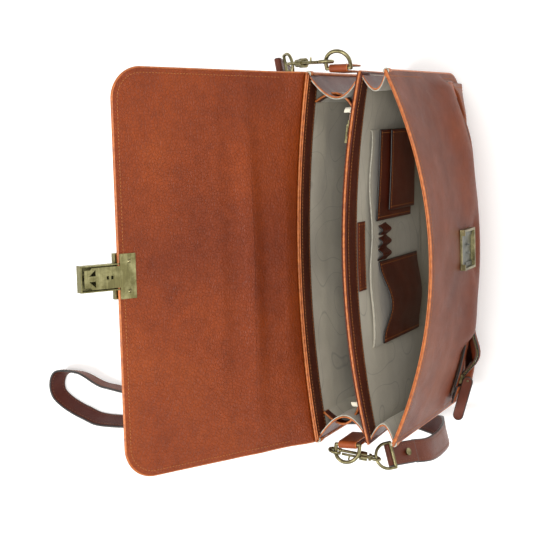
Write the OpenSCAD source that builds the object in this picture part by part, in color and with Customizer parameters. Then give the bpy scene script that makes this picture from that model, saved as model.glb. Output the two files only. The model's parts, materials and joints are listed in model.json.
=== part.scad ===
// Leather briefcase with a turned-back flap, two compartments, a tuck lock and a shoulder strap.
// X is the width, the front faces -Y, Z is up, and the floor under the base is Z = 0.

/* [Panels] */
// Width of the back and front panels
panel_w = 386; // [360:1:400]
// Width of the divider between the two compartments
divider_w = 387; // [380:1:390]
// Height of the panels above the floor
panel_h = 290; // [280:1:300]
// Depth of the bag at its base
base_d = 84; // [80:1:90]
// Radius of the bottom corners
corner_r = 50; // [40:1:60]
// Thickness of the body leather
leather_t = 2.4; // [1.8:0.1:2.8]
// Thickness of the lining
lining_t = 1; // [0.8:0.1:1.2]
// Depth of the leather facing below each top edge
facing_h = 28; // [20:1:34]

/* [Open mouth] */
// Where the back panel's top corners stand, behind the middle of the base
back_top_y = 49; // [46:1:52]
// Where the divider's top corners stand
divider_top_y = -7; // [-10:1:-4]
// Where the front panel's top corners stand
front_top_y = -35; // [-38:1:-32]
// How far the back panel bows backwards in the middle
back_bow = 14.6; // [10:0.2:16]
// How far the divider bows backwards in the middle
divider_bow = 21.8; // [18:0.2:24]
// How far the front panel bows forwards in the middle
front_bow = 44; // [42:0.5:45]
// Height at which the bow of a panel is full
belly_z = 140; // [120:5:160]
// How far the side gussets fold into the bag
gusset_fold = 24; // [16:1:28]

/* [Flap] */
// Distance of the flap's hinge line behind the middle of the base
hinge_y = 60; // [59:0.5:62]
// Height of the flap's hinge line
hinge_z = 294; // [293.5:0.5:296]
// Angle of the thrown back flap above the horizontal
flap_open = 53; // [50:1:56]
// Length of the flap's top part, from the hinge line to the fold
flap_top_l = 105; // [104:0.5:106]
// Length of the flap's front part, from the fold to the free edge
flap_front_l = 105; // [103:0.5:106]
// Width of the flap at its free edge
flap_w = 403; // [396:1:405]
// Radius of the flap's free corners
flap_corner_r = 30; // [20:1:40]
// Thickness of the flap, two layers of leather sewn together
flap_t = 3.4; // [3:0.1:3.6]

/* [Lock] */
// Width of the lock's cross bar on the flap
lock_bar_w = 44; // [42:1:48]
// Length of the cross bar along the flap
lock_bar_l = 17; // [14:0.5:18]
// Width of the lock's tongue
lock_tongue_w = 21; // [18:0.5:22]
// How far the tongue reaches past the flap's free edge
lock_tongue_l = 38; // [36:0.5:38.5]
// Thickness of the lock's back plate
lock_plate_t = 1.4; // [1.2:0.1:1.5]
// Width and height of the catch frame
catch_w = 44; // [43:0.5:46]
catch_h = 43; // [43:0.5:44]
// Height of the catch frame above the front panel
catch_t = 5.5; // [5:0.1:5.6]
// Width of the catch frame's rails
catch_rail = 2.6; // [2.2:0.1:2.8]
// Height of the catch frame's centre above the floor
catch_z = 161; // [160:0.5:162]
// Diameter of the lock cylinder
key_d = 9; // [8:0.5:9.5]

/* [Hardware] */
// Thickness of the wire of the D rings
ring_wire = 4; // [3:0.5:4.5]
// Outer width of the D rings
ring_w = 30; // [28:1:32]
// Width of the shoulder strap
strap_w = 23; // [20:1:25]
// Thickness of the shoulder strap
strap_t = 3; // [2.5:0.5:3.5]
// Length of a snap hook from its nose to its swivel
hook_l = 44; // [42:1:46]

/* [Pocket zip] */
// Height of the front pocket's zip above the floor
zip_z = 95; // [90:1:100]
// Half of the zip's opening, along the width
zip_half_w = 163; // [130:1:165]
// Width of the zip's tape
zip_tape_w = 20; // [18:1:24]
// Width across the closed zip teeth
zip_teeth_w = 5.4; // [5:0.1:6]
// Length of the leather zip puller
puller_l = 56; // [40:1:60]

/* [Hidden] */
$fn = 48;
eps = 0.1;

// Gap between layers that lie on each other without being one piece
layer = 0.1;
// Gap behind linings and behind the divider's facings, which bend a little differently
lining_gap = 0.5;
facing_gap = 0.6;
// The flap's own frame: X is across, Y runs from the hinge to the free edge, +Z is the inner face
flap_l = flap_top_l + flap_front_l;
// Half width of the flap at the hinge, and the taper to its free edge
flap_root_w = panel_w;
// Angle by which the front panel's upper half leans back
front_lean = atan((front_top_y + base_d / 2) / panel_h);
// Radius of the front panel's plan arc at the zip, which the pocket zip follows from outside
zip_bow = front_bow * swell(zip_z);
panel_arc_r = (pow(panel_w / 2, 2) + pow(zip_bow, 2)) / (2 * zip_bow);
zip_arc_r = panel_arc_r + 1.6;
zip_arc_y = -base_d / 2 + (front_top_y + base_d / 2) * zip_z / panel_h - zip_bow + panel_arc_r;
zip_half_a = asin(zip_half_w / zip_arc_r);
// How far the pocket zip lies in front of the panel
zip_off = 5;
// Side hardware: where the D rings' bars are
ring_y = 19;
ring_x = 197;
ring_z = 279;

nose_r = 7;
collar_x = hook_l - 11.2;
collar_l = 7;
gate_y = 6.9;
gate_d = 2.6;
bow_reach = (ring_w - ring_wire) / 2;
hook_dx = 7;
hook_dz = 3.3;
hook_droop = 18;
left_droop = 23;
left_drop = 2.4;
left_yaw = 14.5;
eye_r = 5.4;
eye_off = 17;
// Ring at each end of the strap, and the doubled leather that holds it
strap_ring_w = 30.4;
strap_ring_wire = 3.3;
ring_reach = (strap_ring_w - strap_ring_wire) / 2 * 1.45;
end_t = 2;
end_loop_l = 36;
rivet_x = 22;
// Lock: the tongue's tray, its windows and what the casing holds
tray_w = lock_tongue_w + 5;
wall = 1.2;
case_t = 5;
window_x = 5.2;
hook_drop = 2.7;
window_s = flap_l + 29;
key_s = flap_l + 11;
button_s = flap_l + 33;
button_d = 7;
latch_s = flap_l + 18.5;
rivet_half = 14.5;
notch_w = 31;
notch_z = 2.1;
// Gaps in the stiff parts of the flap, where it bends
hinge_gap = 12;
fold_gap = 2;
// Carry handle on the flap's outer face
handle_x = 62;
handle_s = 62;
handle_n = -9.2;
handle_ring_w = 26;
handle_wire = 4;
// Front pocket and its zip slider
pocket_half_w = 172;
pocket_z0 = 14;
pocket_bulge = 3;
slider_a = -(zip_half_a - 0.9);
pivot_off = 13;
function unit(v) = v / norm(v);
// Centre of the hook's eye, seen from the D ring
eye_run = hook_l - 12 + eye_off + 1.6 - nose_r;
function eye_at(side, way) = let (
    droop = side < 0 ? left_droop : hook_droop,
    yaw = side < 0 ? left_yaw : 0)
    [side * (ring_x + hook_dx + eye_run * cos(droop) * sin(yaw)),
    ring_y + bow_reach + way * eye_run * cos(droop) * cos(yaw),
    ring_z + hook_dz - (side < 0 ? left_drop : 0) - eye_run * sin(droop)];
// Direction v made square to direction n
function square_to(v, n) = unit(v - (v * n) / (n * n) * n);
// Each strap end: the ring's bar, the ring's way from eye to bar, the strap's way, its width's way
left_across = unit([-0.93, -0.3, 0.2]);
right_across = unit([-0.96, -0.2, 0.1]);
left_ring_way = square_to([-0.06, -0.78, -0.62], left_across);
right_ring_way = square_to([-0.06, 0.66, -0.75], right_across);
left_end = [eye_at(-1, -1) + ring_reach * left_ring_way, left_ring_way,
    square_to([-0.04, -0.36, -0.93], left_across), left_across];
right_end = [eye_at(1, 1) + ring_reach * right_ring_way, right_ring_way,
    square_to([-0.12, 0.3, -0.95], right_across), right_across];
function strap_start(end, run) = end[0] + end[2] * run;
// Guide points of the strap, from the left end round the floor behind the bag to the right end:
// the place on its centre line and the way of its width
strap_z = strap_w / 2 + 1.5;
strap_guide = [
    [strap_start(left_end, end_loop_l + 0.6), left_end[3]],
    [strap_start(left_end, end_loop_l + 34), left_end[3]],
    [[-219, -42, 105], [-0.9, -0.3, 0.25]],
    [[-222, -10, 45], [-0.5, -0.1, 0.85]],
    [[-226, 60, strap_z], [-0.3, 0, 0.95]],
    [[-238, 250, strap_z], [-0.35, 0, 0.9]],
    [[-247, 425, strap_z], [-0.45, 0, 0.9]],
    [[-238, 475, strap_z], [-0.5, -0.1, 0.85]],
    [[-214, 514, strap_z], [-0.3, 0.3, 0.9]],
    [[-186, 512, strap_z], [0.1, 0.45, 0.9]],
    [[-184, 480, strap_z], [0.2, 0.1, 0.95]],
    [[-201, 436, strap_z], [0, 0, 1]],
    [[-196, 360, strap_z], [0, 0, 1]],
    [[-80, 290, strap_z], [0, 0, 1]],
    [[90, 250, strap_z], [0, 0.2, 1]],
    [[176, 190, 60], [-0.3, 0.3, 0.8]],
    [strap_start(right_end, end_loop_l + 40), [-0.9, -0.1, 0.3]],
    [strap_start(right_end, end_loop_l + 0.6), right_end[3]]];
slider_at = [-202.5, 398, strap_z];
slider_run = [0.1, 1, 0];
// Laptop sleeve behind the divider
sleeve_w = 330;
sleeve_top = 266;
sleeve_off = 9;
middle_zip_w = 300;
middle_zip_z = 268;
middle_zip_off = 5;
middle_slider_x = 138;
// Pockets on the divider's front face
organizer_top = 236;
organizer_x0 = -100;
organizer_x1 = 132;
pocket_off = 3.8;
pen_x0 = -8;
large_x0 = -98;
large_x1 = -10;

// ---- Shapes of the soft walls ----

function swell(z) = z >= belly_z ? 1 : pow(sin(90 * z / belly_z), 1.5);
function arch(x, w) = 1 - pow(2 * x / w, 2);
function half_w(z, w) = z >= corner_r ? w / 2
    : w / 2 - corner_r + sqrt(pow(corner_r, 2) - pow(corner_r - z, 2));
function lean(z, top_y, foot_y) = foot_y + (top_y - foot_y) * z / panel_h;
back_y = function (x, z) lean(z, back_top_y, base_d / 2) + back_bow * swell(z) * arch(x, panel_w);
front_y = function (x, z) lean(z, front_top_y, -base_d / 2)
    - front_bow * swell(z) * arch(x, panel_w);
divider_y = function (x, z) lean(z, divider_top_y, 0)
    + divider_bow * pow(z / panel_h, 1.5) * arch(x, divider_w);

// Closed solid between two faces, each given as a point for u and v from 0 to 1.
// The near face looks along -Y when u runs along +X and v along +Z.
module sheet_solid(near, far, nu, nv) {
    row = nu + 1;
    count = row * (nv + 1);
    points = concat(
        [for (j = [0:nv], i = [0:nu]) near(i / nu, j / nv)],
        [for (j = [0:nv], i = [0:nu]) far(i / nu, j / nv)]);
    faces = concat(
        [for (j = [0:nv - 1], i = [0:nu - 1]) let (a = j * row + i) each [
            [a, a + row, a + row + 1], [a, a + row + 1, a + 1],
            [a + count, a + count + row + 1, a + count + row],
            [a + count, a + count + 1, a + count + row + 1]]],
        [for (i = [0:nu - 1]) let (t = nv * row + i) each [
            [i, i + 1, i + 1 + count], [i, i + 1 + count, i + count],
            [t, t + 1 + count, t + 1], [t, t + count, t + 1 + count]]],
        [for (j = [0:nv - 1]) let (a = j * row, b = a + nu) each [
            [a, a + count, a + count + row], [a, a + count + row, a + row],
            [b, b + row, b + row + count], [b, b + row + count, b + count]]]);
    polyhedron(points = points, faces = faces, convexity = 8);
}

// Heights at which every wall and its layers bend, so that layers follow each other closely
wall_z = [for (k = [0:7]) 3 + (panel_h - 3) * pow(k / 7, 1.5)];
// The divider's foot stands inside the base strip's turned-up corners
function wall_half(z, w) = w == divider_w && z < corner_r + 4 ? half_w(z, panel_w) - 5
    : half_w(z, w);

// Full-width layer of a wall, from height z0 to z1, offset from the wall's own face
module wall_layer(wall_y, w, z0, z1, off, t, inset = 0, nu = 10) {
    rows = concat([z0], [for (z = wall_z) if (z > z0 + 1 && z < z1 - 1) z], [z1]);
    nv = len(rows) - 1;
    at = function (u, v, y) let (
        z = rows[round(v * nv)],
        x = (2 * u - 1) * (wall_half(z, w) - inset)) [x, wall_y(x, z) + y, z];
    sheet_solid(function (u, v) at(u, v, off), function (u, v) at(u, v, off + t), nu, nv);
}

// Rectangular patch on a wall
module wall_patch(wall_y, x0, x1, z0, z1, off, t, nu = 6, nv = 2) {
    at = function (u, v, y) let (x = x0 + (x1 - x0) * u, z = z0 + (z1 - z0) * v)
        [x, wall_y(x, z) + y, z];
    sheet_solid(function (u, v) at(u, v, off), function (u, v) at(u, v, off + t), nu, nv);
}

// Side gusset between two walls: it folds into the bag in one soft pleat
module gusset(side, near_wall, far_wall, z0, z1, fold, x_top) {
    clear = 2.2;
    edge = function (v) let (z = z0 + (z1 - z0) * v) x_top - 1.5;
    at = function (u, v, out) let (
        z = z0 + (z1 - z0) * v,
        x = edge(v) - fold * sin(180 * u) * (0.35 + 0.65 * v) + out,
        y0 = near_wall(x_top, z) + leather_t + clear,
        y1 = far_wall(x_top, z) - clear - 1.4)
        [side * x, y0 + (y1 - y0) * u, z];
    inner = function (u, v) at(side > 0 ? u : 1 - u, v, 0);
    outer = function (u, v) at(side > 0 ? u : 1 - u, v, 1.6);
    sheet_solid(outer, inner, 8, 5);
}

// ---- Body: back wall, base and side gussets ----

module back_panel() {
    color("#9c4a25") wall_layer(back_y, panel_w, 3, panel_h, 0, leather_t);
}

module back_facing() {
    color("#5a2415") wall_layer(back_y, panel_w, panel_h - facing_h, panel_h - 0.5,
        -1.4 - layer, 1.4, inset = 2);
}

module back_lining() {
    color("#8e8b7a") wall_layer(back_y, panel_w, wall_z[1], panel_h - facing_h - 0.5,
        -lining_t - lining_gap, lining_t, inset = 4);
}

// One strip of leather that makes the base and turns up at both bottom corners
module base_gusset() {
    run = panel_w / 2 - corner_r;
    color("#8a4223") translate([0, 36, 0]) rotate([90, 0, 0]) {
        linear_extrude(72) translate([-run, 0]) square([2 * run, leather_t]);
        for (side = [-1, 1]) linear_extrude(66) translate([side * run, corner_r])
            intersection() {
                difference() {
                    circle(r = corner_r, $fn = 96);
                    circle(r = corner_r - leather_t, $fn = 96);
                }
                translate([side > 0 ? 0 : -corner_r, -corner_r]) square(corner_r);
            }
    }
}

// Stiffener board that keeps the base flat
module base_board() {
    board_w = panel_w - 2 * corner_r - 6;
    color("#3a332c") translate([-board_w / 2, 5, leather_t + layer]) cube([board_w, 29, 2]);
    color("#3a332c") translate([-board_w / 2, -31, leather_t + layer]) cube([board_w, 26, 2]);
}

module rear_gusset_left() {
    color("#7c3a20") gusset(-1, divider_y, back_y, corner_r + 4, panel_h - 5, gusset_fold,
        panel_w / 2);
}

module rear_gusset_right() {
    color("#7c3a20") gusset(1, divider_y, back_y, corner_r + 4, panel_h - 5, gusset_fold,
        panel_w / 2);
}

module front_gusset_left() {
    color("#7c3a20") gusset(-1, front_y, divider_y, corner_r + 4, panel_h - 5,
        gusset_fold * 0.7, panel_w / 2);
}

module front_gusset_right() {
    color("#7c3a20") gusset(1, front_y, divider_y, corner_r + 4, panel_h - 5,
        gusset_fold * 0.7, panel_w / 2);
}

// ---- Strap hardware at both ends ----

// Puts a child at the right-hand D ring and its mirror image at the left-hand one
module both_ends() {
    children();
    mirror([1, 0, 0]) children();
}

// D ring in its own frame: the bar lies along Y through the origin, the bow reaches along +X
module d_ring(w, wire) {
    bow_r = (w - wire) / 2;
    rotate([90, 0, 0]) translate([0, 0, -bow_r]) cylinder(d = wire, h = 2 * bow_r);
    for (s = [-1, 1]) translate([0, s * bow_r, 0]) sphere(d = wire);
    for (s = [-1, 1]) translate([0, s * bow_r, 0]) rotate([0, 90, 0])
        cylinder(d = wire, h = bow_r * 0.45);
    translate([bow_r * 0.45, 0, 0]) rotate([0, 0, -90])
        rotate_extrude(angle = 180) translate([bow_r, 0]) circle(d = wire);
}

module d_rings() {
    color("#8f8a5a") both_ends() translate([ring_x, ring_y, ring_z]) rotate([0, -25, 0])
        d_ring(ring_w, ring_wire);
}

// Leather loop round the D ring's bar, sewn to the outside of the rear gusset
module ring_tabs() {
    loop_r = ring_wire / 2 + 0.05;
    tab_w = 18;
    color("#b5622e") both_ends() translate([ring_x, ring_y, ring_z]) rotate([90, 0, 0])
        translate([0, 0, -tab_w / 2]) linear_extrude(tab_w) difference() {
            union() {
                circle(r = loop_r + 2);
                translate([-loop_r - 2, -46]) square([2, 46]);
                translate([-loop_r + layer, -46]) square([2 * loop_r + 2 - layer, 46]);
            }
            circle(r = loop_r);
            translate([loop_r * 0.9, -60]) square([20, 60]);
        }
}

// Snap hook in its own frame: the nose rings the D ring at the origin, the body runs along +X
module hook_body() {
    wire = 3.6;
    translate([nose_r, 0, 0]) rotate([0, 0, 60]) rotate_extrude(angle = 260)
        translate([nose_r, 0]) circle(d = wire);
    translate([nose_r * (1 + cos(40)), -nose_r * sin(40), 0]) {
        sphere(d = wire + 0.8);
        rotate([0, 90, 0]) cylinder(d = wire - 0.4, h = collar_x - nose_r * (1 + cos(40)) + 0.7);
    }
    translate([collar_x, 0, 0]) rotate([0, 90, 0])
        difference() {
            union() {
                cylinder(d = 10, h = collar_l);
                translate([0, gate_y, 0]) cylinder(d = gate_d + 2.6, h = collar_l);
            }
            translate([0, 0, -1]) cylinder(d = 4.1, h = collar_l + 2);
            translate([0, gate_y, -1]) cylinder(d = gate_d + 0.12, h = collar_l + 2);
        }
}

// Bolt of a snap hook: it slides back into the collar to open the nose
module hook_gate() {
    translate([12.6, gate_y, 0]) rotate([0, 90, 0]) cylinder(d = gate_d, h = collar_x - 9);
    translate([21, gate_y, 0]) cylinder(d = 2, h = 5);
}

// Swivel pin and the eye that carries the strap's ring
module hook_swivel() {
    pin_x = collar_x - 0.8;
    translate([pin_x, 0, 0]) rotate([0, 90, 0]) cylinder(d = 4, h = 10.6);
    translate([pin_x - 1.2, 0, 0]) rotate([0, 90, 0]) cylinder(d = 5.2, h = 1.4);
    translate([pin_x + 10.5, 0, 0]) rotate([0, 90, 0]) cylinder(d = 8, h = 2.5);
    translate([pin_x + eye_off, 0, 0]) rotate_extrude(angle = 360)
        translate([eye_r, 0]) circle(d = 3);
}

// Right-hand and left-hand hook frames: nose on the D ring, body running back or forward
module right_hook() {
    translate([ring_x + hook_dx, ring_y + bow_reach, ring_z + hook_dz]) rotate([-hook_droop, 0, 0])
        rotate([90, 0, 90]) translate([-nose_r, 0, 0]) children();
}

module left_hook() {
    translate([-ring_x - hook_dx, ring_y + bow_reach, ring_z + hook_dz - left_drop])
        rotate([0, 0, -left_yaw]) rotate([left_droop, 0, 0]) rotate([90, 0, -90]) translate([-nose_r, 0, 0]) children();
}

module snap_hooks() {
    color("#8f8a5a") right_hook() hook_body();
    color("#8f8a5a") left_hook() hook_body();
}

module hook_gate_right() {
    color("#a39c63") right_hook() hook_gate();
}

module hook_gate_left() {
    color("#a39c63") left_hook() hook_gate();
}

module hook_swivels() {
    color("#8f8a5a") right_hook() hook_swivel();
    color("#8f8a5a") left_hook() hook_swivel();
}

// Frame with its X and Y axes along two given directions; the Y direction is squared up
module frame_at(origin, x_dir, y_dir) {
    x = unit(x_dir);
    z = unit(cross(x, y_dir));
    y = cross(z, x);
    multmatrix([[x[0], y[0], z[0], origin[0]], [x[1], y[1], z[1], origin[1]],
        [x[2], y[2], z[2], origin[2]], [0, 0, 0, 1]]) children();
}

module strap_rings() {
    for (end = [left_end, right_end]) color("#8f8a5a")
        frame_at(end[0], -end[1], end[3]) d_ring(strap_ring_w, strap_ring_wire);
}

// Strap end folded round the ring's bar and riveted to itself
module strap_end_loop() {
    bore = strap_ring_wire / 2 + 0.05;
    rotate([90, 0, 0]) translate([0, 0, -strap_w / 2]) difference() {
        linear_extrude(strap_w) {
            difference() {
                circle(r = bore + end_t);
                circle(r = bore);
                translate([bore * 0.8, -bore]) square([10, 2 * bore]);
            }
            for (s = [-1, 1]) translate([0, s > 0 ? bore : -bore - end_t])
                square([end_loop_l, end_t]);
        }
        translate([rivet_x, -10, strap_w / 2]) rotate([-90, 0, 0]) cylinder(d = 4.1, h = 20);
    }
}

module strap_ends() {
    for (end = [left_end, right_end]) color("#8a4526") frame_at(end[0], end[2], end[3])
        strap_end_loop();
}

module strap_rivets() {
    half = strap_ring_wire / 2 + 0.05 + end_t + layer;
    for (end = [left_end, right_end]) color("#6f6a45") frame_at(end[0], end[2], end[3])
        translate([rivet_x, 0, 0]) {
            translate([0, 0, -half]) cylinder(d = 4, h = 2 * half);
            translate([0, 0, half - eps / 2]) cylinder(d1 = 9, d2 = 6, h = 1.2);
            translate([0, 0, -half - 0.9]) cylinder(d = 8, h = 0.9 + eps / 2);
        }
}

// Smooth run through the strap's guide points; column 0 is the place, column 1 the width's way
function spline(p, k, f, c) = let (
    a = p[max(k - 1, 0)][c], b = p[k][c], d = p[k + 1][c], e = p[min(k + 2, len(p) - 1)][c])
    0.5 * (2 * b + (d - a) * f + (2 * a - 5 * b + 4 * d - e) * f * f
        + (3 * b - a - 3 * d + e) * f * f * f);
function along(p, u, c) = let (
    s = min(u, 0.99999) * (len(p) - 1), k = floor(s)) spline(p, k, s - k, c);

module ribbon(guide, width, t, off, nu) {
    at = function (u, v, out) let (
        here = along(guide, u, 0),
        ahead = along(guide, min(u + 0.002, 1), 0),
        behind = along(guide, max(u - 0.002, 0), 0),
        run = unit(ahead - behind),
        face = unit(cross(run, along(guide, u, 1))),
        across = cross(face, run))
        here + across * (v - 0.5) * width + face * out;
    sheet_solid(function (u, v) at(u, v, off + t), function (u, v) at(u, v, off), nu, 1);
}

module shoulder_strap() {
    color("#7a3c22") ribbon(strap_guide, strap_w, strap_t, -strap_t / 2, 66);
}

// Three-bar slider that sets the strap's length, with the strap's free tail behind it
module strap_slider() {
    wire = 2.4;
    gap = strap_w + 2;
    color("#8f8a5a") frame_at(slider_at, slider_run, [0, 0, 1]) {
        for (x = [-9, 9]) translate([x, -gap / 2, 0]) rotate([-90, 0, 0])
            cylinder(d = wire, h = gap);
        for (s = [-1, 1]) translate([-9, s * gap / 2, 0]) rotate([0, 90, 0])
            cylinder(d = wire, h = 18);
        for (x = [-9, 9], s = [-1, 1]) translate([x, s * gap / 2, 0]) sphere(d = wire);
    }
}

// ---- Divider and what is sewn to it ----

module divider_panel() {
    color("#b5622e") wall_layer(divider_y, divider_w, 8, panel_h, -1.3, 2.6, inset = 1);
}

module divider_facings() {
    for (off = [1.3 + facing_gap, -2.7 - facing_gap])
        color("#5a2415") wall_layer(divider_y, divider_w, panel_h - facing_h, panel_h - 0.5,
            off, 1.4, inset = 3);
}

module divider_lining() {
    for (off = [1.5 + lining_gap, -1.5 - lining_t - lining_gap])
        color("#8e8b7a") wall_layer(divider_y, divider_w, wall_z[1], panel_h - facing_h - 0.5,
            off, lining_t, inset = 5);
}

// Padded laptop sleeve in the rear compartment: its front wall stands clear of the divider
module laptop_sleeve() {
    color("#94907f") wall_patch(divider_y, -sleeve_w / 2, sleeve_w / 2, 14, sleeve_top - 12.5,
        sleeve_off, 1.8, nu = 10, nv = 4);
}

module sleeve_trim() {
    color("#7c3a20") wall_patch(divider_y, -sleeve_w / 2, sleeve_w / 2, sleeve_top - 12,
        sleeve_top, sleeve_off - 0.4, 2.6, nu = 10, nv = 1);
}

// Zip of the middle pocket, between the divider and the laptop sleeve
module middle_zip() {
    color("#e6dfc9") wall_patch(divider_y, -middle_zip_w / 2, middle_zip_w / 2, middle_zip_z - 1,
        middle_zip_z + 1, middle_zip_off, 5, nu = 14, nv = 1);
}

// Turned so that X runs along the zip where the slider stands
module at_middle_slider() {
    y = divider_y(middle_slider_x, middle_zip_z) + middle_zip_off + 2.5;
    slope = divider_y(middle_slider_x + 1, middle_zip_z) - divider_y(middle_slider_x - 1, middle_zip_z);
    translate([middle_slider_x, y, middle_zip_z + 1.3]) rotate([0, 0, atan(slope / 2)]) children();
}

module middle_zip_slider() {
    color("#a39c63") at_middle_slider() {
        translate([-5, -3, 0]) cube([10, 6, 2.2]);
        translate([-2.5, -1, 2.1]) difference() {
            cube([6, 2, 4]);
            translate([3, -1, 1.8]) rotate([-90, 0, 0]) cylinder(d = 2.4, h = 4);
        }
    }
}

module middle_zip_puller() {
    color("#a39c63") at_middle_slider() translate([0.5, 0, 3.9]) {
        rotate([-90, 0, 0]) translate([0, 0, -2.6]) cylinder(d = 1.9, h = 5.2);
        for (s = [-1, 1]) translate([-13, s * 2.5 - 0.8, -0.9]) cube([13, 1.6, 1.8]);
        translate([-19, -3.3, -0.9]) cube([7, 6.6, 1.8]);
    }
}

// Open pocket with piping on the divider's front face
module organizer_pocket() {
    color("#a09c8a") wall_patch(divider_y, organizer_x0, organizer_x1, 60, organizer_top,
        -pocket_off - 1.2, 1.2, nu = 8, nv = 3);
}

module phone_pocket() {
    color("#6b2c18") wall_patch(divider_y, 36, 132, 120, organizer_top - 8,
        -pocket_off - 10.4, 1.8, nu = 6, nv = 2);
    color("#6b2c18") wall_patch(divider_y, 46, 132, 120, organizer_top - 34,
        -pocket_off - 14.4, 1.8, nu = 6, nv = 2);
}

// Strip sewn down at intervals so that it stands off in loops for pens
module pen_loops() {
    loop_w = 13;
    for (k = [0:2]) color("#6b2c18") wall_patch(
        function (x, z) divider_y(x, z) - pocket_off - 4
            - 6 * pow(sin(180 * (x - pen_x0 - k * loop_w) / loop_w), 2),
        pen_x0 + k * loop_w + 0.2, pen_x0 + (k + 1) * loop_w - 0.2,
        organizer_top - 46, organizer_top - 20, -1.6, 1.6, nu = 6, nv = 1);
}

module large_pocket() {
    color("#6b2c18") wall_patch(
        function (x, z) divider_y(x, z) - pocket_off - 5
            - 16 * pow(sin(180 * (x - large_x0) / (large_x1 - large_x0)), 2) * z / panel_h,
        large_x0, large_x1, 90, organizer_top - 22, -1.8, 1.8, nu = 8, nv = 3);
}

// Plain sewn patch below the divider's facing
module label_patch() {
    color("#7c3a20") wall_patch(divider_y, -36, 36, panel_h - facing_h - 20,
        panel_h - facing_h - 1, -5, 1.2, nu = 4, nv = 1);
}

// ---- Front wall, catch and zipped pocket ----

module front_panel() {
    color("#8a4a30") wall_layer(front_y, panel_w, 3, panel_h, 0, leather_t);
}

module front_facing() {
    color("#5a2415") wall_layer(front_y, panel_w, panel_h - facing_h, panel_h - 0.5,
        leather_t + layer, 1.4, inset = 2);
}

module front_lining() {
    color("#8e8b7a") wall_layer(front_y, panel_w, wall_z[1], panel_h - facing_h - 0.5,
        leather_t + lining_gap + 0.2, lining_t, inset = 4);
}

// Frame of the catch: X is across, Y is up the panel, +Z points away from the bag
module catch_at(out = 0.15) {
    translate([0, front_y(0, catch_z) - out, catch_z]) rotate([90 - front_lean, 0, 0]) children();
}

// Rectangular frame; the middle of its top rail is low so that the lock's tongue can enter
module catch_frame() {
    color("#8f8a5a") catch_at() difference() {
        translate([-catch_w / 2, -catch_h / 2, 0]) cube([catch_w, catch_h, catch_t]);
        translate([-catch_w / 2 + catch_rail, -catch_h / 2 + catch_rail, -1])
            cube([catch_w - 2 * catch_rail, catch_h - 2 * catch_rail, catch_t + 2]);
        translate([-notch_w / 2, catch_h / 2 - catch_rail - 1, notch_z])
            cube([notch_w, catch_rail + 2, catch_t]);
    }
}

// Plate in the bottom of the frame with the two hooks that enter the tongue's windows
module catch_box() {
    in_w = catch_w - 2 * catch_rail - 2 * layer;
    in_h = catch_h - 2 * catch_rail - 2 * layer;
    color("#77786c") catch_at() {
        translate([-in_w / 2, -in_h / 2, 0]) cube([in_w, in_h, 1]);
        for (s = [-1, 1]) translate([s * (window_x - 0.8) - 1, -hook_drop - 1, 0.9])
            cube([2, 2, 3.2]);
        for (s = [-1, 1]) translate([s > 0 ? in_w / 2 - 5 : -in_w / 2, -in_h / 2, 0.9])
            cube([5, in_h * 0.7, 1.2]);
    }
}

// Plate behind the leather that the catch is clenched to
module catch_backing() {
    color("#77786c") translate([-21, front_y(0, catch_z) + leather_t + lining_t + 2.2,
        catch_z - 20]) cube([42, 1, 40]);
}

// Puts a child on the zip's arc: X along the zip, Y outwards from the panel, Z up
module on_zip(a) {
    translate([0, zip_arc_y, zip_z]) rotate([0, 0, 180 + a]) translate([0, zip_arc_r, 0])
        mirror([1, 0, 0]) children();
}

// Band that follows the zip from one end to the other
module zip_band(r0, r1, z0, z1, half_a) {
    translate([0, zip_arc_y, zip_z]) rotate([0, 0, -90 - half_a])
        rotate_extrude(angle = 2 * half_a, $fn = 180) translate([zip_arc_r + r0, z0])
            square([r1 - r0, z1 - z0]);
}

module pocket_zip() {
    color("#7a7648") {
        zip_band(0.9, 1.9, -zip_tape_w / 2, zip_tape_w / 2, zip_half_a + 1.2);
        zip_band(1.8, 4.2, -zip_teeth_w / 2, zip_teeth_w / 2, zip_half_a);
    }
}

// Pocket below the zip: it stands proud of the panel and is fullest in the middle
module front_pocket() {
    pouch = function (x, z) front_y(x, z) - 2.8
        - pocket_bulge * sin(90 + 90 * x / pocket_half_w) * sin(90 * min(1, (z - pocket_z0) / 60));
    color("#8a4a30") wall_patch(pouch, -pocket_half_w, pocket_half_w, pocket_z0,
        zip_z - zip_tape_w / 2 - 0.5, -2, 2, nu = 12, nv = 5);
    color("#8a4a30") for (s = [-1, 1])
        zip_band(2.2, 3.6, s > 0 ? zip_teeth_w / 2 + 0.5 : -zip_tape_w / 2,
            s > 0 ? zip_tape_w / 2 : -zip_teeth_w / 2 - 0.5, zip_half_a);
}

module zip_end_tabs() {
    for (s = [-1, 1]) color("#7c3a20") on_zip(s * (zip_half_a + 1))
        translate([-7, 4.4, -10.2]) cube([14, 2.2, 20.4]);
}

module zip_slider() {
    color("#b5b07a") on_zip(slider_a) {
        translate([-5, 4.5, -4.5]) cube([10, 2.5, 9]);
        translate([-2.2, 6.9, -3.5]) cube([4.4, 7.2, 1.6]);
        translate([0, pivot_off, -2]) cylinder(d = 2.4, h = 4.2);
    }
}

module zip_puller() {
    bore = 1.26;
    color("#6b3a24") on_zip(slider_a) translate([0, pivot_off, -1.1]) linear_extrude(2.2)
        difference() {
            union() {
                circle(d = 10);
                translate([-puller_l + 10, -4]) square([puller_l - 10, 8]);
                translate([-puller_l + 10, 0]) circle(d = 11);
            }
            circle(r = bore);
        }
}

// ---- Flap, carry handle and lock ----

module flap_frame() {
    translate([0, hinge_y, hinge_z]) rotate([flap_open, 0, 0]) children();
}

function flap_half(s) = (flap_root_w + (flap_w - flap_root_w) * s / flap_l) / 2;

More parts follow.
